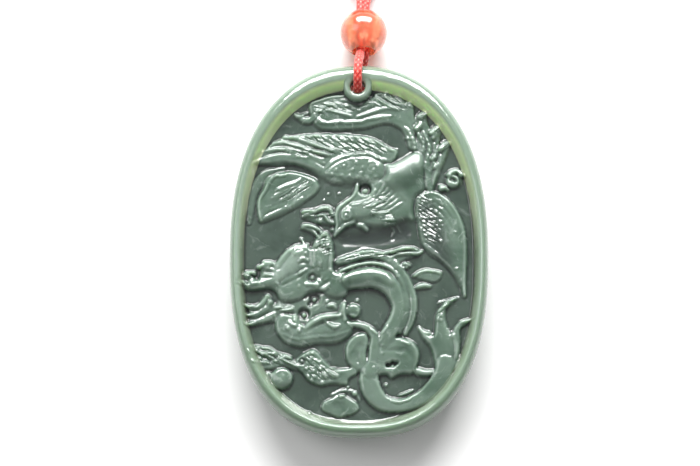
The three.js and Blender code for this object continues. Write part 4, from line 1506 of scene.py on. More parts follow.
@dataclass(frozen=True)
class Dragon:
    """The dragon of the lower half: head to the left, body looped to the right, flame tail up the side."""

    def fins(self) -> Carving:
        """Returns the fin along the back and its two loose blades."""
        return [
            swell(-0.34, (-2.2, 1.4, 1.6), (2, 1.6, 2), (7, 2.6, 2.2)),
            Mass(((4.6, -1), (7, -0.2), (9.4, -0.2), (10.2, -0.6), (9, -1.4), (7.4, -2), (6.4, -2.6),
                (5.2, -2.2)), 0.38, 0.25),
            ridge(0.6, (6.9, -2.9, 0.3), (7.5, -2.6, 0.35), (8.3, -2.9, 0.25)),
            ridge(0.56, (7.1, -3.3, 0.25), (7.8, -3.2, 0.25)),
            ridge(0.8, (4.3, -0.8, 0.3), (6, -0.45, 0.35), (7.4, -0.1, 0.4), (8.6, -0.1, 0.35),
                (9.5, -0.3, 0.25)),
            ridge(0.72, (5, -1.6, 0.25), (6.6, -1.05, 0.28), (8.2, -0.9, 0.28), (9.4, -1, 0.3),
                (10.2, -0.55, 0.25)),
            ridge(0.56, (-3.4, -2.3, 0.5), (-2, -2, 0.7), (0, -1.35, 0.75), (2, -1.05, 0.75),
                (4, -1.5, 0.75), (6, -3, 0.7), (7.6, -5.2, 0.7), (8.6, -7.8, 0.7), (8.75, -10, 0.65),
                (8.3, -12.2, 0.6), (7.4, -14.2, 0.4), section=Section.FLAT),
            *lines(0.32, 0.44, [(-3.4, -1.7), (-2.2, -1.3), (-0.8, -0.8)],
                [(-0.6, -0.7), (0.8, -0.4), (2.2, -0.4)], [(2.2, -0.5), (3.4, -0.7), (4.6, -0.8)],
                [(4.8, -0.7), (6, -0.4), (7.4, 0), (8.8, 0.1)], [(6.4, -1), (8, -0.8), (9.6, -0.8)]),
            *studs(0.2, 0.26, (-1.2, -1.9), (0.2, -1.5), (1, -1.35), (2.3, -1.25), (3.7, -1.6), (4.9, -2.3),
                (5.9, -3.2)),
            ridge(0.76, (-3, -3.9, 0.4), (-1.6, -3.3, 0.45), (0, -2.85, 0.45), (2, -2.55, 0.45),
                (4, -2.9, 0.45), (5.6, -3.9, 0.45), (6.9, -5.8, 0.4), (7.6, -8, 0.4), (7.75, -10, 0.4),
                (7.3, -12.2, 0.4), (6.5, -14, 0.35)),
        ]

    def tail(self) -> Carving:
        """Returns the loop at the bottom and the flame that the tail ends in."""
        return [
            Mass(((16.1, -8), (14.4, -8.6), (13.2, -9.6), (12.4, -11), (12.2, -13), (11.8, -14.6),
                (10.4, -13.8), (9.4, -12.8), (10.2, -14.8), (11.4, -16.4), (12, -18.5), (12.5, -20.5),
                (15.6, -20), (16.2, -17.5), (16.3, -15), (16.4, -13.4), (18.3, -11.9), (16.6, -11.9),
                (15.4, -13), (14.8, -14.2), (14.2, -12.6), (13.9, -11), (14.4, -9.6)), 0.61, 0.5),
            *lines(0.3, 0.42, [(12.9, -9), (14.4, -8.7), (16, -8.2)], [(12.8, -10.3), (13.6, -9.6),
                (15, -9.1)], [(16.3, -12.2), (17.2, -12), (18.3, -11.7)], [(10.6, -13.8), (11.6, -14.2)]),
            detail(0.16, (14.3, -13.4, 0.25), (15.2, -14.6, 0.35), (15.7, -16.4, 0.35),
                (15.5, -18.4, 0.25)),
            detail(0.28, (9.6, -13, 0.2), (10.4, -13.8, 0.25), (11.8, -14.6, 0.25)),
            *studs(0.25, 0.3, (11.2, -13.9), (12.7, -11.8), (13.3, -11.2), (13.2, -12), (12.9, -10.4)),
            ridge(0.68, (8.6, -20, 0.5), (9.6, -20.4, 0.7), (10.8, -20.6, 0.6), (12.4, -20.4, 0.5)),
            ridge(0.32, (6.4, -24.2, 0.2), (7.6, -23.8, 0.25), (8.5, -23.4, 0.2)),
            knob(4.3, -22.5, 0.3, 0.4),
            ridge(0.8, (1.65, -20.5, 1.5), (1.65, -22.2, 1.65), (2.4, -24.1, 1.6), (3.9, -25.5, 1.35),
                (6, -25.85, 1.15), (8.2, -25.5, 1.15), (10.2, -24.5, 1.25), (12, -22.9, 1.4),
                (13.3, -21, 1.5), (13.9, -19, 1.5), section=Section.FLAT, seat=0.22),
            detail(0.22, (5.2, -25.2, 0.2), (6.2, -25.4, 0.25), (7.4, -25.2, 0.2), (8.2, -24.9, 0.15)),
        ]

    def body(self) -> Carving:
        """Returns the smooth looped body and the knot of coils under it."""
        return [
            Mass(((-0.4, -14.2), (1, -14.1), (1.6, -15.4), (1.2, -17.4), (1.5, -19.4), (1.2, -20.6),
                (-0.4, -20.2), (-1.8, -19), (-2.3, -17.2), (-1.8, -15.4)), 0.57, 0.5),
            detail(-0.14, (0.6, -15.8, 0.4), (-0.4, -16.9, 0.6), (-0.5, -18, 0.6), (0.2, -19.2, 0.4),
                seat=0.0),
            Mass(((2.4, -15.4), (4, -14.6), (5.6, -14.7), (7.4, -14.9), (8.9, -15.7), (9.7, -17.2),
                (9.5, -19), (8.6, -20.7), (7, -20.8), (6.2, -21), (5.2, -21.5), (4.3, -20.9), (2.8, -21),
                (1.6, -20.8), (1.8, -18)), 0.72, 0.56),
            detail(-0.12, (4.2, -17, 0.3), (6.2, -16.9, 0.45), (7.8, -17.2, 0.45), (8.4, -18.2, 0.3),
                seat=0.0),
            ridge(0.84, (-1.6, -12.6, 0.45), (0.2, -12.8, 0.55), (1.6, -13.5, 0.65), (2.5, -14.8, 0.8),
                (2.3, -16.8, 0.8), (2.1, -18.8, 0.8), (1.8, -20.4, 1.2), section=Section.FLAT),
            ridge(1.04, (-1.6, -5.5, 1.5), (0, -5.1, 1.7), (2, -4.9, 1.8), (4, -5.5, 1.75),
                (5.6, -7.2, 1.5), (6.4, -9.5, 1.2), (6.1, -11.6, 1.25), (5.2, -13.4, 1.3),
                (4.4, -14.8, 1.2), (4, -15.8, 0.8), section=Section.FLAT, seat=0.22),
            detail(0.26, (1.9, -13.4, 0.2), (2.6, -14, 0.25), (3.2, -14.15, 0.25), (3.9, -13.8, 0.25),
                (4.6, -13, 0.2)),
            swell(0.34, (-2.2, -5.3, 1.1), (0, -4.9, 1.3), (1.8, -4.65, 1.35), (3.6, -4.95, 1.3),
                (5, -5.8, 1.1)),
            *lines(0.28, 0.38, [(7, -15.5), (8, -15.9)]),
            *studs(0.2, 0.24, (0.7, -15.8), (3.8, -16.1), (5.7, -15.1), (-0.2, -19.2), (2.3, -19.8),
                (0.9, -20.8), (3.7, -17.5), (5.3, -20.4), (2.6, -12.5)),
            knob(-0.9, -10.4, 1.2, 0.48, section=Section.FLAT),
            detail(0.2, (-1.3, -11.1, 0.2), (-0.5, -11.3, 0.22)),
            knob(-0.3, -8.7, 0.28, 0.4),
            Pit(5.4, -19.2, 0.55, 0.24, 0.2),
            Pit(4.6, -19.35, 0.4, 0.1, 0),
            Pit(6, -19, 0.3, 0.1, 0),
        ]

    def chest(self) -> Carving:
        """Returns the chest, its roll and the folds of the neck."""
        return [
            Mass(((-13, -8.6), (-11, -9), (-9, -8.4), (-6, -7.6), (-3, -8.2), (-1.9, -9.5), (-2.2, -11.5),
                (-5, -12), (-8, -12.8), (-10, -12.4), (-12.6, -11.4), (-13.6, -10)), 0.26, 0.3),
            Mass(((-13.6, -12), (-13.4, -13.6), (-12.6, -15), (-11.4, -15.9), (-9.5, -16.4), (-8, -16.1),
                (-6.5, -15.8), (-4.5, -15.8), (-2.8, -15.4), (-1.4, -14.3), (-1, -13.2), (-1.4, -12.2),
                (-2, -11), (-2.2, -9.2), (-3, -9.2), (-3.6, -10.8), (-6, -11), (-7.5, -11.8), (-8.4, -12.8),
                (-9.2, -12.6), (-10, -11.4), (-11, -11), (-12.5, -10.8)), 0.62, 0.42, 0.2, 2),
            swell(0.2, (-11.4, -13.6, 1.5), (-9.2, -14.6, 1.6), (-6, -14, 1.8), (-3.2, -13.6, 1.6)),
            ridge(1.04, (-8.8, -13.6, 0.4), (-7.8, -12.7, 0.65), (-6.2, -11.8, 0.7), (-4.4, -11.4, 0.6),
                (-3.2, -11.3, 0.45)),
            detail(0.3, (-5.5, -12.2, 0.25), (-4.8, -12.7, 0.35), (-4, -13.2, 0.4), (-3.3, -13, 0.3)),
            detail(0.26, (-2.3, -9.1, 0.25), (-2.3, -10.6, 0.25), (-2.2, -12, 0.2)),
            detail(0.08, (-12.4, -14.2, 0.2), (-10, -15.2, 0.3), (-7, -14.8, 0.3), (-4, -14.6, 0.3),
                (-1.8, -13.8, 0.2)),
            ridge(0.76, (-5, -9.6, 0.3), (-4.2, -9.5, 0.35), (-3.7, -10, 0.25)),
            knob(-5.2, -8.9, 0.32, 0.68),
            *studs(0.4, 0.42, (-11.2, -12.4), (-10.4, -12.1), (-10.2, -12.9), (-9.2, -13.1), (-11.5, -13.3),
                (-9.6, -13.7), (-10.3, -11.4), (-10.8, -12.8)),
        ]

    def mane(self) -> Carving:
        """Returns the mane, its strands and the two horns."""
        return [
            ridge(0.68, (-9.3, 3.4, 0.22), (-8.2, 3.1, 0.28), (-7.2, 2.6, 0.3), (-6.6, 1.7, 0.3)),
            ridge(0.8, (-9.2, 3.75, 0.25), (-8.2, 3.75, 0.4), (-6.9, 3.3, 0.35), (-6, 2.6, 0.3)),
            Mass(((-7.8, -0.4), (-7.5, 0.6), (-6.8, 2), (-5.6, 2.9), (-4.6, 2), (-4.1, 0.2), (-4.4, -0.6),
                (-6, -0.2)), 0.84, 0.56),
            *strokes(0.36, [(-7.1, 0.6, 0.24), (-6.2, 0.8, 0.24), (-5.4, 0.8, 0.24), (-4.7, 0.4, 0.24)], 6,
                0.6, 92, 13),
            *strokes(0.36, [(-6.6, 1.7, 0.22), (-5.8, 1.8, 0.24), (-4.9, 1.6, 0.22)], 4, 0.5, 84, 14),
            detail(0.4, (-5.9, 2, 0.3), (-5.5, 2.3, 0.45), (-5.2, 2.5, 0.3)),
            *studs(0.24, 0.24, (-6.9, 0.1), (-6, 0.2), (-5.4, 1.1), (-4.8, 0.1), (-5, 1.6), (-6.6, 1.8),
                (-4.8, -0.9)),
        ]

    def head(self) -> Carving:
        """Returns the head from neck to nose, with brow, eye, cheek and nostrils."""
        return [
            Mass(((-10.7, 0.5), (-8.3, 0.7), (-7.8, 0), (-4.2, 0), (-4.1, -3.6), (-2.4, -4.2), (-1.7, -5.6),
                (-1.9, -7.6), (-3.4, -8.5), (-5.2, -7.9), (-6.2, -7.2), (-7.8, -7.3), (-8.6, -7.9),
                (-9.6, -8.6), (-11.2, -9), (-12.7, -8.7), (-13.4, -7.4), (-14.6, -6.8), (-16.4, -7.1),
                (-18.4, -7), (-19.4, -6.2), (-19.2, -5.2), (-18.9, -4), (-17.8, -3.7), (-17.2, -4.6),
                (-16.4, -5.2), (-16, -4.4), (-16, -3), (-15.6, -2.1), (-14.4, -2), (-13.5, -2.3),
                (-12.7, -1.3), (-11.8, -0.3)), 0.68, 0.56),
            swell(0.2, (-3.5, -5.6, 1.6), (-3.4, -6.9, 1.6)),
            swell(0.2, (-11.6, -7.2, 1.7), (-9.8, -6.5, 1.6)),
            swell(0.3, (-9.7, -1.3, 1.4), (-11, -2.9, 1.8), (-12.8, -4.6, 1.6), (-15, -5.9, 1),
                (-17.2, -6.1, 0.9)),
            detail(0.3, (-6.5, -0.7, 1.6), (-6.5, -2.4, 1.7), section=Section.SOFT, seat=0.1),
            *fan(0.07, 5, [(-7.6, 0, 0.16), (-7.7, -1.8, 0.2), (-7.2, -3.2, 0.16)],
                [(-5.4, 0, 0.16), (-5.3, -1.8, 0.2), (-5.7, -3.2, 0.16)], seat=0.05),
            detail(0.14, (-4.6, 0.2, 0.3), (-4.55, -1.8, 0.35), (-4.6, -3.7, 0.3)),
            detail(0.12, (-10.6, 0, 0.3), (-11.7, -0.9, 0.5), (-12.7, -2.2, 0.55), (-13.2, -3.2, 0.4)),
            *fan(0.12, 3, [(-15.6, -2.5, 0.3), (-14.9, -2.4, 0.4), (-14, -2.8, 0.25)],
                [(-15.4, -4.6, 0.3), (-14.8, -4.5, 0.4), (-14, -4.7, 0.25)]),
            *lines(0.22, 0.34, [(-15.5, -2.3), (-14.3, -2.5)], [(-15.6, -3.2), (-14.7, -3.4)],
                [(-15.2, -4.4), (-14.3, -4.6)]),
            knob(-18.15, -4.5, 0.75, 1),
            *studs(0.3, 0.26, (-18, -4.2), (-18.5, -4.6), (-17.8, -4.8), (-18.2, -5)),
            ridge(1, (-19.5, -6.1, 0.3), (-18.9, -5.8, 0.5), (-18.2, -6.1, 0.4)),
            *studs(0.3, 0.26, (-18.8, -5.7), (-19.2, -6.1), (-18.4, -6.2)),
            detail(0.12, (-17.4, -6, 0.7), (-16.4, -6, 0.7), section=Section.CROWN, seat=0.0),
            detail(0.12, (-18.4, -6.6, 0.22), (-17.2, -6.8, 0.25), (-15.4, -6.5, 0.22)),
            detail(0.24, (-10.5, -1, 0.4), (-10, -0.8, 0.6), (-9.5, -0.7, 0.4), section=Section.CROWN,
                seat=0.0),
            detail(0.2, (-10.7, 0.4, 0.2), (-9.4, 0.65, 0.26), (-8.2, 0.65, 0.2)),
            ridge(0.64, (-8.9, 0.7, 0.2), (-9.1, 1.1, 0.18), (-9.45, 1.7, 0.14)),
            detail(0.26, (-9.8, -2.4, 0.2), (-9.1, -1.8, 0.24), (-8.3, -2.2, 0.2)),
            detail(0.28, (-9.8, -4.4, 0.22), (-9.1, -4, 0.3), (-8.5, -3.6, 0.26)),
            detail(0.1, (-9.3, -3.1, 0.5), (-9, -3.1, 0.5), section=Section.CROWN),
            detail(0.1, (-12.4, -5.9, 0.25), (-11.2, -5.2, 0.35), (-9.6, -4.4, 0.3)),
            Pit(-7.6, -5, 0.85, 0.4, 0, 0.1),
            Pit(-6.5, -4.9, 0.4, 0.1, 0, 0.3),
            *studs(0.26, 0.24, (-7.4, -3), (-7.2, -3.3), (-6.3, -2.7), (-6.5, -3.8), (-5.7, -3.6),
                (-4.6, -3.8), (-5.4, -5.4), (-5.1, -5.2), (-13.1, -6.1), (-13.3, -5.9), (-8.6, -1),
                (-9.7, -6.5), (-6.2, -5.8)),
            *lines(0.34, 0.44, [(-8.6, -6.1), (-7.6, -6), (-6.7, -6.2)],
                [(-6.2, -7), (-5.5, -6.7), (-4.8, -6.1)]),
            Pit(-7.2, -8.4, 0.95, 0.32, 0.1),
            Pit(-7.9, -9.2, 0.5, 0.1, 0),
            Pit(-8.9, -10.8, 1.05, 0.38, 0.3),
        ]

    def legs(self) -> Carving:
        """Returns the two claws and the knobbly leg."""
        return [
            Mass(((-18.4, -9.2), (-16.6, -9.4), (-15.4, -8), (-14.6, -7.6), (-14, -8.6), (-13.4, -9.2),
                (-10.6, -9.6), (-10.2, -10.6), (-12.4, -11), (-13.6, -12.2), (-15.6, -12.4), (-18, -13),
                (-17.8, -11)), 0.42, 0.37),
            detail(0.2, (-18.3, -9.5, 0.3), (-17, -9.8, 0.5), (-15.7, -9.3, 0.5), (-14.8, -8, 0.3)),
            detail(0.2, (-18, -11.1, 0.3), (-16.6, -11.1, 0.5), (-15, -10.1, 0.55), (-14.2, -9, 0.3)),
            detail(0.2, (-18.1, -12.7, 0.3), (-16.5, -12.4, 0.5), (-14.8, -11.7, 0.6), (-13.6, -10.9, 0.3)),
            *studs(0.42, 0.42, (-18.25, -9.5), (-18, -11.1), (-18.05, -12.75)),
            *studs(0.36, 0.34, (-14.9, -7.9), (-14.4, -8.9)),
            detail(0.36, (-14.7, -9.3, 0.25), (-14.1, -8.9, 0.3)),
            detail(0.36, (-13.6, -9.9, 0.25), (-12.6, -9.8, 0.3)),
            detail(0.36, (-12.5, -10.4, 0.25), (-11.6, -10.3, 0.35), (-10.7, -10, 0.25)),
            Mass(((-18, -17), (-17, -16), (-15, -16.3), (-13.4, -17), (-11, -17.7), (-10.6, -18.4),
                (-9.6, -19), (-10, -20.2), (-12, -19.6), (-14, -20), (-16, -20), (-17.6, -19.2)), 0.38,
                0.37),
            detail(0.34, (-15.6, -16.5, 0.2), (-14.4, -16.5, 0.3), (-13.3, -17.3, 0.25)),
            detail(0.34, (-16.2, -17.2, 0.25), (-15.2, -17.5, 0.3), (-13.7, -18.3, 0.25)),
            detail(0.34, (-14, -18.8, 0.2), (-12.4, -18.5, 0.3), (-10.9, -19.1, 0.25), (-9.4, -19.8, 0.25)),
            detail(0.34, (-12, -17.7, 0.25), (-11.1, -18.2, 0.25)),
            detail(0.3, (-16.9, -18.9, 0.3), (-15.2, -18.9, 0.3), (-14.4, -19, 0.2)),
            *studs(0.3, 0.34, (-17.2, -16.5), (-17.7, -17.4), (-12.5, -19), (-16.9, -16.2)),
            Mass(((-10.2, -18.4), (-9, -17.4), (-7.5, -16.7), (-6.6, -17.2), (-5.6, -18.4), (-4.2, -19.8),
                (-2.6, -19.9), (-0.4, -19.6), (-0.2, -20.6), (-1.6, -21.6), (-2, -22.6), (-4.2, -22.4),
                (-6.2, -22.7), (-8.2, -21.9), (-9, -20.8), (-9.8, -20)), 0.49, 0.43),
            Pit(-9.2, -18.7, 0.6, 0.28, 0, -0.1),
            *studs(0.26, 0.32, (-7.5, -17.4), (-7.6, -18.3), (-6.9, -18.6), (-8.4, -19.9), (-7.2, -19.8),
                (-7.3, -20.4), (-8.1, -21.2), (-7.2, -21.3), (-7.6, -21.8), (-6.2, -20), (-5.9, -22.2),
                (-6.4, -18.9)),
            *strokes(0.14, [(-7.8, -18.8, 0.24), (-6.6, -19.6, 0.26), (-5.2, -20.2, 0.26)], 5, 0.8, -30,
                15),
            detail(0.34, (-5.9, -20.7, 0.25), (-5.3, -21.3, 0.32)),
            detail(0.34, (-5.1, -20.4, 0.25), (-4.2, -21, 0.4), (-3.4, -21.2, 0.25)),
            detail(0.3, (-4.4, -19.8, 0.2), (-3.8, -19.8, 0.25)),
        ]

    def sparkles(self) -> Carving:
        """Returns the small bright cuts on the nose, the mane's tips and the claws."""
        return [
            *glints(0.95, 0.36, [(-18.2, -4.5), (-17.6, -4.1), (-17, -4.2)], [(-18, -6.3), (-17.1, -6)],
                [(-16.2, -3.2), (-15.3, -2.8), (-14.6, -2.9)]),
            *glints(0.8, 0.26, [(-18, -9.8), (-17.2, -9.6)], [(-17.8, -11.2), (-17.1, -11)],
                [(-17.6, -12.6), (-16.9, -12.4)], [(-17.2, -17), (-16.4, -16.8)],
                [(-15.6, -17.6), (-14.6, -17.4), (-13.6, -17.5)], [(-12.6, -18.2), (-11.8, -18)],
                [(-16.6, -18.6), (-15.8, -18.2)]),
        ]

    def carving(self) -> Carving:
        """Returns the whole dragon, from the lowest form to the highest."""
        return [*self.fins(), *self.tail(), *self.legs(), *self.chest(), *self.body(), *self.head(),
                *self.mane(), *self.sparkles()]


@dataclass(frozen=True)
class Clouds:
    """The pearl and the small clouds between the two animals."""

    def carving(self) -> Carving:
        """Returns the pearl and the clouds, from the lowest to the highest."""
        return [
            knob(-14.4, -21.2, 0.9, 0.32, section=Section.FLAT),
            knob(-12.4, -21.5, 1.8, 0.8, section=Section.FLAT, seat=0.22),
            swell(0.26, (-12.5, -21.8, 1.3), (-12.3, -21.8, 1.3)),
            Mass(((-6.1, -26), (-5.6, -25.2), (-4.4, -24.6), (-3, -24), (-1.6, -24.6), (-0.3, -25.5),
                (0, -26.4), (-0.8, -27.2), (-2, -27.6), (-3.4, -27.8), (-4.8, -27.2), (-5.8, -26.7)), 0.32,
                0.22, 0.22),
            detail(-0.08, (-3.8, -25.9, 0.7), (-2.6, -26, 0.7), seat=0.0),
            ridge(0.24, (-4.4, -24.2, 0.25), (-2.8, -23.5, 0.3), (-1.4, -23.5, 0.3), (-0.4, -24.1, 0.3),
                (0.1, -25, 0.2)),
            detail(0.36, (-3, -24.4, 0.28), (-2.4, -24.2, 0.25)),
            knob(-0.7, -23.9, 0.42, 0.6),
            knob(-1.8, -22.9, 0.25, 0.4),
            knob(-7.9, -27.1, 0.3, 0.4),
            Mass(((8.6, -4.6), (9.6, -3.9), (11, -3.5), (13.2, -3.8), (13.4, -4.6), (12.6, -5.6),
                (11.2, -5.6), (9.8, -5.2)), 0.3, 0.25),
            *lines(0.3, 0.42, [(8.8, -4.6), (9.8, -3.9), (11, -3.6), (12, -3.8)],
                [(12.1, -3.8), (13.2, -4.1)]),
            ridge(0.6, (9.3, -6.5, 0.35), (10.4, -6.2, 0.5), (11.4, -6.3, 0.35)),
            Mass(((-9.4, 5.2), (-9.3, 6.3), (-7.6, 6.6), (-5.6, 7.2), (-4.3, 6.8), (-3.8, 5.4), (-3.9, 3.9),
                (-5.4, 3.9), (-7.2, 4.2)), 0.3, 0.31),
            detail(0.5, (-9.1, 6.1, 0.35), (-8.2, 6.2, 0.4), (-7.2, 6, 0.35)),
            detail(0.5, (-6.8, 6.3, 0.35), (-5.8, 6.7, 0.45), (-4.8, 6.5, 0.4), (-4.2, 5.4, 0.3)),
            detail(0.36, (-9.2, 5.3, 0.25), (-8.2, 5.5, 0.3), (-7.3, 5.3, 0.25)),
            detail(0.4, (-6.7, 5.4, 0.25), (-5.7, 5.4, 0.3), (-5, 4.6, 0.3), (-4, 4.1, 0.25)),
            knob(-6.3, 4.6, 0.55, 0.68),
            knob(-4.3, 3.1, 0.3, 0.48),
            knob(-3.2, 9.2, 0.22, 0.32),
            knob(-5.7, 8.1, 0.22, 0.32),
            knob(-5, 9.1, 0.22, 0.32),
            knob(15.6, 11.3, 1.3, 0.36, section=Section.FLAT),
            detail(0.4, *circle(15.3, 11.2, 0.85, 0.28)),
            detail(0.4, (14.4, 12.3, 0.3), (15.3, 12.6, 0.3), (16.5, 12.8, 0.3), (17.2, 12, 0.25)),
            ridge(0.6, (13.2, 10.4, 0.3), (13.8, 10.3, 0.35), (14.5, 9.8, 0.3)),
        ]


@dataclass(frozen=True)
class Comb:
    """An area of close fine strokes.

    Attributes:
        degrees: The strokes' turn from the tablet's width.
        pitch: Their spacing in millimetres.
        depth: Their depth, as a share of the deepest.
        path: Middle line of the area as (x, y, half width).
    """

    degrees: float
    pitch: float
    depth: float
    path: tuple[Point, ...]


COMBED_AREAS = (
    Comb(-20, 0.82, 1, ((-6.6, 23.4, 1.1), (-3.6, 23.9, 1.4), (-1.6, 23.8, 1.2))),
    Comb(22, 0.8, 1, ((-0.2, 24, 1), (1.4, 24.4, 1.1))),
    Comb(-34, 0.82, 1, ((3, 24.9, 1.3), (5.2, 24.9, 1.4), (7.2, 24, 1))),
    Comb(38, 0.5, 1, ((10.4, 22.3, 0.7), (10.9, 22.9, 0.7))),
    Comb(42, 0.5, 1, ((12.5, 19.9, 0.7), (13.3, 20.6, 0.6))),
    Comb(42, 0.5, 1, ((14.1, 17.1, 0.7), (14.8, 17.8, 0.6))),
    Comb(-42, 0.86, 1, ((-8.2, 18.6, 0.75), (-4, 18.6, 0.85), (0, 18.3, 0.85), (3.4, 17.7, 0.7))),
    Comb(-36, 0.8, 1, ((-6.6, 17.3, 0.7), (-3, 17.3, 0.75), (1, 17.1, 0.75), (4.6, 16.5, 0.6))),
    Comb(-22, 0.65, 1, ((-5, 16.2, 0.5), (-2, 16.3, 0.6), (1.6, 16.2, 0.55))),
    Comb(-18, 0.7, 0.8, ((-12.6, 16.9, 0.9), (-9.6, 16.7, 1.1), (-7.2, 16.2, 0.9))),
    Comb(35, 0.5, 0.9, ((-12.2, 8.6, 0.8), (-10, 9.7, 0.9), (-8.4, 10.7, 0.8))),
    Comb(24, 0.7, 1, ((1.2, 7.3, 1), (2.8, 7.8, 1.3), (4, 8.2, 1.2))),
    Comb(6, 0.7, 1, ((2.6, 5.8, 0.7), (4.6, 5.2, 1), (5.6, 4.4, 0.7))),
    Comb(-34, 0.6, 0.7, ((10.4, 8, 1.2), (11.2, 5, 1.6), (11.8, 2, 1.6))),
    Comb(18, 0.5, 1, ((-6.2, 2.2, 1), (-5.6, 0.6, 1.4), (-5, -0.4, 0.9))),
    Comb(10, 0.5, 0.9, ((-13.4, -9.8, 0.6), (-11.2, -10.2, 0.7))),
    Comb(-25, 0.7, 0.9, ((-16.8, -17, 1), (-14.6, -17.8, 1.4), (-11.4, -18.7, 0.9))),
    Comb(-38, 0.75, 0.9, ((-8, -18.2, 1), (-6.8, -20.2, 1.5), (-4.4, -20.9, 1))),
    Comb(20, 0.45, 1, ((-18.6, -4.4, 0.6), (-17.8, -4.4, 0.6))),
    Comb(20, 0.45, 1, ((-19, -6, 0.5), (-18.3, -6.1, 0.5))),
    Comb(10, 0.55, 0.9, ((-8.8, 6, 0.8), (-6, 6.2, 1), (-4.4, 5.6, 0.8))),
    Comb(12, 0.5, 0.8, ((-2.8, -1.8, 0.5), (1, -1.2, 0.6), (4, -1.5, 0.5))),
    Comb(8, 0.5, 0.8, ((5.4, -0.7, 0.6), (9.2, -0.4, 0.6))),
    Comb(25, 0.5, 0.9, ((12.9, -10.6, 0.6), (13.4, -9.4, 0.7), (15.2, -8.7, 0.6))),
)


def comb(x: Array, y: Array, columns: int) -> tuple[Array, Array]:
    """Gives the places and the run of the close fine strokes.

    Args:
        x: Places across.
        y: Places along the tablet.
        columns: Places in one row of the grid.

    Returns:
        Their depth from 0 to 1, and how many strokes lie between each place and the middle.
    """
    depth = np.zeros_like(x)
    phase = np.zeros_like(x)
    for area in COMBED_AREAS:
        field = Relief(x, y, np.zeros_like(x), 0.0, columns)
        field.raise_form(ridge(area.depth, *area.path, section=Section.CROWN, seat=0.0))
        turn = math.radians(area.degrees)
        deeper = field.z > depth
        depth[deeper] = field.z[deeper]
        phase[deeper] = (y[deeper] * math.cos(turn) - x[deeper] * math.sin(turn)) / area.pitch
    return depth, phase


PALE_PATCHES = (
    patch(0.6, (-9.7, -1.2, 1.8), (-11.2, -3.0, 2.3), (-13.0, -4.8, 1.8)),
    patch(0.16, (-12.0, -13.4, 1.8), (-8.0, -14.2, 2.2), (-3.0, -14.0, 2.0)),
    patch(0.2, (-2.6, 5.4, 1.8), (0.5, 6.0, 2.2)),
    patch(0.15, (2.0, -23.0, 1.8), (4.0, -25.6, 1.6), (8.0, -25.6, 1.5)),
    patch(0.6, (5.0, 14.0, 1.6), (7.4, 13.6, 2.4), (9.6, 15.0, 1.8)),
    patch(0.2, (-14.0, 8.0, 1.6), (-11.0, 9.8, 2.2), (-8.0, 10.8, 1.4)),
)
DARK_PATCHES = (
    patch(0.75, (11.0, 6.4, 3.0), (12.4, 2.0, 3.6), (14.0, -2.6, 2.8)),
)
MATTE_PATCHES = (
    patch(1.0, (5.0, 13.0, 3.6), (7.6, 12.6, 4.6), (9.6, 13.6, 3.6)),
)


def patches(forms: Sequence[Form], x: Array, y: Array, columns: int) -> Array:
    """Gives soft patches of the face.

    Args:
        forms: Their shapes.
        x: Places across.
        y: Places along the tablet.
        columns: Places in one row of the grid.

    Returns:
        How much of a patch each place has, from 0 to 1.
    """
    field = Relief(x, y, np.zeros_like(x), 0.0, columns)
    for form in forms:
        field.raise_form(form)
    return field.z


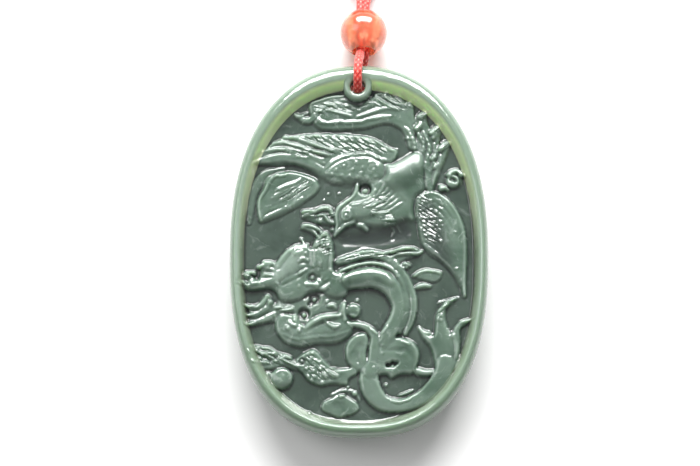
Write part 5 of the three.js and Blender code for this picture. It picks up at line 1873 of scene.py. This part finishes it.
@dataclass
class JadeTablet:
    """The carved oval: a round rim about a sunk ground, a collar with the cord hole, and a pillowed back."""

    half_width: float = 21.0
    half_height: float = 31.0
    thickness: float = 8.0
    ground: float = 6.0
    rim_at_sides: float = 2.4
    rim_at_top: float = 4.2
    rim_at_bottom: float = 2.8
    power_top: float = 2.25
    power_bottom: float = 2.5
    crest: float = 0.46
    crest_at_top: float = 0.6
    marks_seed: int = 7
    marks_waves: int = 10
    marks_length: Point = (0.9, 2.2)
    marks_depth: float = 0.014
    marks_fade: float = 0.5
    foot_reach: float = 0.94
    wall_bend: float = 0.75
    ledge_width: float = 0.46
    ledge_rise: float = 0.15
    ledge_reach: int = 8
    side_top: float = 6.0
    back_edge: float = 3.4
    back_flat: float = 0.6
    hole: Point = (-0.2, 27.0)
    hole_radius: float = 1.25
    collar_radius: float = 1.95
    collar_round: float = 0.45
    collar_top: float = 7.8
    lip_reach: float = 0.35
    lip_drop: float = 0.2
    drill_reach: Point = (-2.0, 12.0)
    drill_sides: int = 64
    # Depths over which the sunk ground gets its painted shade.
    sunk_top: float = 0.45
    sunk_depth: float = 0.75
    ground_edge: float = 0.15
    # Where the rim's inner wall gets its painted light, and how much of it shows at the sides.
    olive_start: float = 0.08
    olive_end: float = 0.95
    olive_fade: float = 0.35
    wall_light_at_sides: float = 0.22
    cut_scale: float = 0.35
    even_passes: int = 1
    blur_passes: int = 10
    rim_gain: float = 1.6
    rim_start: float = 0.3
    cells_across: int = 224
    cells_along: int = 324
    rim_rings: tuple[float, ...] = (0.85, 0.68, 0.52, 0.37, 0.24, 0.13, 0.04, 0.0)
    side_rings: tuple[Point, ...] = ((0.0, 5.4), (0.02, 4.8), (0.1, 4.3), (0.24, 3.85), (0.45, 3.4))
    back_rings: tuple[float, ...] = (0.95, 0.9, 0.84, 0.77, 0.69, 0.6)

    def oval(self, angle: Array, half_width: float, half_height: float, middle: float) -> Array:
        """Gives places on an egg-like oval.

        Args:
            angle: Directions from its middle.
            half_width: Half its width.
            half_height: Half its height.
            middle: Its middle's y.

        Returns:
            Rows of x and y.
        """
        power = np.where(np.sin(angle) >= 0, self.power_top, self.power_bottom)
        reach = (np.abs(np.cos(angle)) ** power + np.abs(np.sin(angle)) ** power) ** (-1 / power)
        x = half_width * reach * np.cos(angle)
        return np.column_stack([x, half_height * reach * np.sin(angle) + middle])

    def outer(self, angle: Array) -> Array:
        """Returns places on the tablet's outline."""
        return self.oval(angle, self.half_width, self.half_height, 0.0)

    def foot(self, angle: Array) -> Array:
        """Returns places on the foot of the rim's inner wall."""
        half_height = self.half_height - (self.rim_at_top + self.rim_at_bottom) / 2
        middle = (self.rim_at_bottom - self.rim_at_top) / 2
        return self.oval(angle, self.half_width - self.rim_at_sides, half_height, middle)

    def crest_share(self, angle: Array) -> Array:
        """Returns how far the rim's crest lies from the outline to the foot of the wall."""
        upward = np.clip(np.sin(angle), 0, 1) ** 2
        return self.crest + (self.crest_at_top - self.crest) * upward

    def face(self) -> tuple[Array, Array, Array]:
        """Lays a grid over the face out to the rim's crest.

        Returns:
            Places across and along, the wall share from 0 on the ground to 1 on the crest, and the angle.
        """
        across = np.linspace(-1, 1, self.cells_across + 1)
        u, v = np.meshgrid(across, np.linspace(-1, 1, self.cells_along + 1))
        p = u * np.sqrt(1 - v**2 / 2)
        q = v * np.sqrt(1 - u**2 / 2)
        reach = np.hypot(p, q).ravel()
        angle = np.arctan2(q, p).ravel()
        wall = np.clip((reach - self.foot_reach) / (1 - self.foot_reach), 0, 1)
        foot = self.foot(angle)
        middle = np.array([0.0, (self.rim_at_bottom - self.rim_at_top) / 2])
        inner = middle + (foot - middle) * np.minimum(reach / self.foot_reach, 1)[:, None]
        toward = (wall * (1 - self.crest_share(angle)))[:, None]
        return inner + (self.outer(angle) - foot) * toward, wall, angle

    def wall_rise(self, wall: Array, angle: Array) -> Array:
        """Shapes the rim's inner wall, which has a gentle ledge at its foot near the tablet's lower end.

        Args:
            wall: Shares across the wall from its foot.
            angle: Directions from the tablet's middle.

        Returns:
            Shares of the wall's height.
        """
        up = wall**self.wall_bend
        steep = np.clip((wall - self.ledge_width) / (1 - self.ledge_width), 0, 1) ** self.wall_bend
        ledge = self.ledge_rise * np.clip(wall / self.ledge_width, 0, 1)
        stepped = ledge + (1 - self.ledge_rise) * steep**2 * (3 - 2 * steep)
        low = np.clip(-np.sin(angle), 0, 1) ** self.ledge_reach
        return up**2 * (3 - 2 * up) * (1 - low) + stepped * low

    def carve(self, xy: Array, wall: Array, angle: Array) -> Array:
        """Works the collar and every form of the carving.

        Args:
            xy: Places on the face.
            wall: Shares across the rim's inner wall.
            angle: Directions from the tablet's middle.

        Returns:
            Heights of the face.
        """
        z = self.ground + (self.thickness - self.ground) * self.wall_rise(wall, angle)
        relief = Relief(xy[:, 0], xy[:, 1], z, self.ground, self.cells_across + 1)
        for figure in (Clouds(), Phoenix(), Dragon()):
            relief.work(figure.carving())
        raised = np.clip((z - self.ground) / self.marks_fade, 0, 1)
        z += self.hand_marks(xy) * raised * np.clip(1 - wall / self.marks_fade, 0, 1)
        away = self.from_hole(xy)
        edge = np.clip((self.collar_radius + self.collar_round - away) / self.collar_round, 0, 1)
        z += (self.collar_top - z) * np.sqrt(1 - (1 - edge) ** 2)
        lip = np.clip(1 - (away - self.hole_radius) / self.lip_reach, 0, 1)
        return z - self.lip_drop * lip**2

    def from_hole(self, xy: Array) -> Array:
        """Returns the distance of places from the middle of the cord hole."""
        return np.hypot(xy[:, 0] - self.hole[0], xy[:, 1] - self.hole[1])

    def hand_marks(self, xy: Array) -> Array:
        """Returns the slight unevenness that hand cutting leaves, with a fixed seed."""
        chance = np.random.default_rng(self.marks_seed)
        marks = np.zeros(len(xy))
        for _ in range(self.marks_waves):
            heading = chance.uniform(0, math.pi)
            length = chance.uniform(*self.marks_length)
            phase = (xy[:, 0] * math.cos(heading) + xy[:, 1] * math.sin(heading)) / length
            marks += np.sin(2 * math.pi * (phase + chance.uniform()))
        return marks * self.marks_depth / math.sqrt(self.marks_waves)

    def rings(self, angle: Array) -> list[Array]:
        """Makes the rings from the rim's crest over the edge to the flat of the back.

        Args:
            angle: Directions of the ring's points.

        Returns:
            Places of each ring.
        """
        outer = self.outer(angle)
        foot = self.foot(angle)
        rings = []
        for share in self.rim_rings:
            rise = math.sqrt(1 - (1 - share) ** 2)
            height = self.side_top + (self.thickness - self.side_top) * rise
            inward = (share * self.crest_share(angle))[:, None]
            rings.append((outer + (foot - outer) * inward, height))
        length = np.linalg.norm(outer, axis=1)[:, None]
        for inset, height in self.side_rings:
            rings.append((outer * (1 - inset / length), height))
        last_inset = self.side_rings[-1][0]
        for share in self.back_rings:
            height = self.back_edge * ((share - self.back_flat) / (1 - self.back_flat)) ** 2
            rings.append((outer * (1 - last_inset / length) * share, height))
        return [np.column_stack([place, np.full(len(place), height)]) for place, height in rings]

    def surface(self, xy: Array, z: Array, wall: Array, angle: Array) -> dict[str, Array]:
        """Works out the vertex values that the jade's look follows.

        Args:
            xy: Places on the face.
            z: Their heights.
            wall: Shares across the rim's inner wall.
            angle: Directions from the tablet's middle.

        Returns:
            Values of the face's places by the attribute's name.
        """
        columns = self.cells_across + 1
        x, y = xy.T
        on_ground = wall < self.ground_edge
        # Painted shade: the lower the sunk ground lies, the darker it is coloured; the dark patch over the
        # right wing is added to it below.
        sunk = np.clip((self.ground + self.sunk_top - z) / self.sunk_depth, 0, 1) * on_ground
        collar = self.from_hole(xy) < self.collar_radius + self.collar_round
        # Painted light on the rim's inner wall, strongest towards the top of the tablet.
        wall_light_share = np.clip(wall / self.olive_start, 0, 1)
        wall_light_share *= np.clip((self.olive_end - wall) / self.olive_fade, 0, 1)
        wall_light_share *= self.wall_light_at_sides + (1 - self.wall_light_at_sides) * np.clip(np.sin(angle), 0, 1)
        # Hollows get painted shade and convex crests a painted highlight, from how far each place lies below
        # or above its evened neighbours.
        proud = (z - evened(z, columns, self.blur_passes)) / self.cut_scale
        depth, phase = comb(x, y, columns)
        return {
            "sunk": np.maximum(sunk, patches(DARK_PATCHES, x, y, columns)),
            "hollow": np.clip(-proud, 0, 1),
            "crest": np.clip(proud, 0, 1),
            "wall": np.where(collar, 0, wall_light_share),
            "comb_phase": phase,
            "combed": depth * (1 - sunk) * on_ground,
            "matte": patches(MATTE_PATCHES, x, y, columns),
            "paleness": patches(PALE_PATCHES, x, y, columns),
            "rim": np.where(collar, 1, np.clip(wall * self.rim_gain - self.rim_start, 0, 1)),
        }

    def build(self, finish: Material) -> Piece:
        """Carves the tablet and drills it.

        Args:
            finish: The jade.

        Returns:
            The tablet.
        """
        xy, wall, angle = self.face()
        columns = self.cells_across + 1
        z = evened(self.carve(xy, wall, angle), columns, self.even_passes)
        number = np.arange(len(z)).reshape(self.cells_along + 1, columns)
        quads = np.stack([number[:-1, :-1], number[:-1, 1:], number[1:, 1:], number[1:, :-1]], axis=-1)
        loop = np.concatenate([number[0, :-1], number[:-1, -1], number[-1, :0:-1], number[:0:-1, 0]])
        rings = self.rings(angle[loop])
        places = [np.column_stack([xy, z])]
        faces = [quads.reshape(-1, 4)]
        start = len(z)
        for ring in rings:
            outside = np.arange(start, start + len(ring))
            faces.append(np.stack([loop, outside, np.roll(outside, -1), np.roll(loop, -1)], axis=-1))
            places.append(ring)
            loop = outside
            start += len(ring)
        middle = np.full(len(loop), start)
        faces.append(np.stack([loop, middle, np.roll(loop, -1), np.roll(loop, -1)], axis=-1))
        places.append(np.zeros((1, 3)))
        rest = start + 1 - len(z)
        values = {key: np.concatenate([numbers, np.full(rest, key == "rim")])
                  for key, numbers in self.surface(xy, z, wall, angle).items()}
        tablet = mesh_object("carved_tablet", np.vstack(places), np.vstack(faces), **values)
        tablet.data.materials.append(finish)
        self.drill(tablet)
        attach(tablet, BODY)
        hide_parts("jade_tablet")
        log.info("tablet: %d triangles", triangles(tablet))
        return tablet

    def drill(self, tablet: Piece) -> None:
        """Cuts the cord hole through the tablet."""
        path = np.column_stack([np.full(2, self.hole[0]), np.full(2, self.hole[1]), self.drill_reach])
        places, faces = tube_rows(path, np.full((2, self.drill_sides), self.hole_radius))
        drill = mesh_object("drill", places, faces)
        drill.data.materials.append(tablet.data.materials[0])
        cut = tablet.modifiers.new("hole", "BOOLEAN")
        cut.operation = "DIFFERENCE"
        cut.solver = "MANIFOLD"
        cut.object = drill
        make_plain(tablet)
        bpy.data.objects.remove(drill)


def main() -> None:
    """Builds the studio and the pendant's pieces in order."""
    logging.basicConfig(level=logging.INFO, format="%(name)s: %(message)s")
    studio = Studio()
    studio.build_camera()
    yarn = yarn_group()
    stone = cloudy_stone_group()
    neck_cord = NeckCord()
    cord = neck_cord.build(YarnFinish().material(yarn))
    tie = CoilTie().build(YarnFinish(name="tie_thread", braided=False).material(yarn))
    bead = AgateBead().build(AgateFinish().material(stone))
    neck_cord.declare(cord)
    JadeTablet().build(JadeFinish().material(stone))
    studio.build_lights()
    studio.build_floor()
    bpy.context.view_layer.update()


if __name__ == "__main__":
    main()
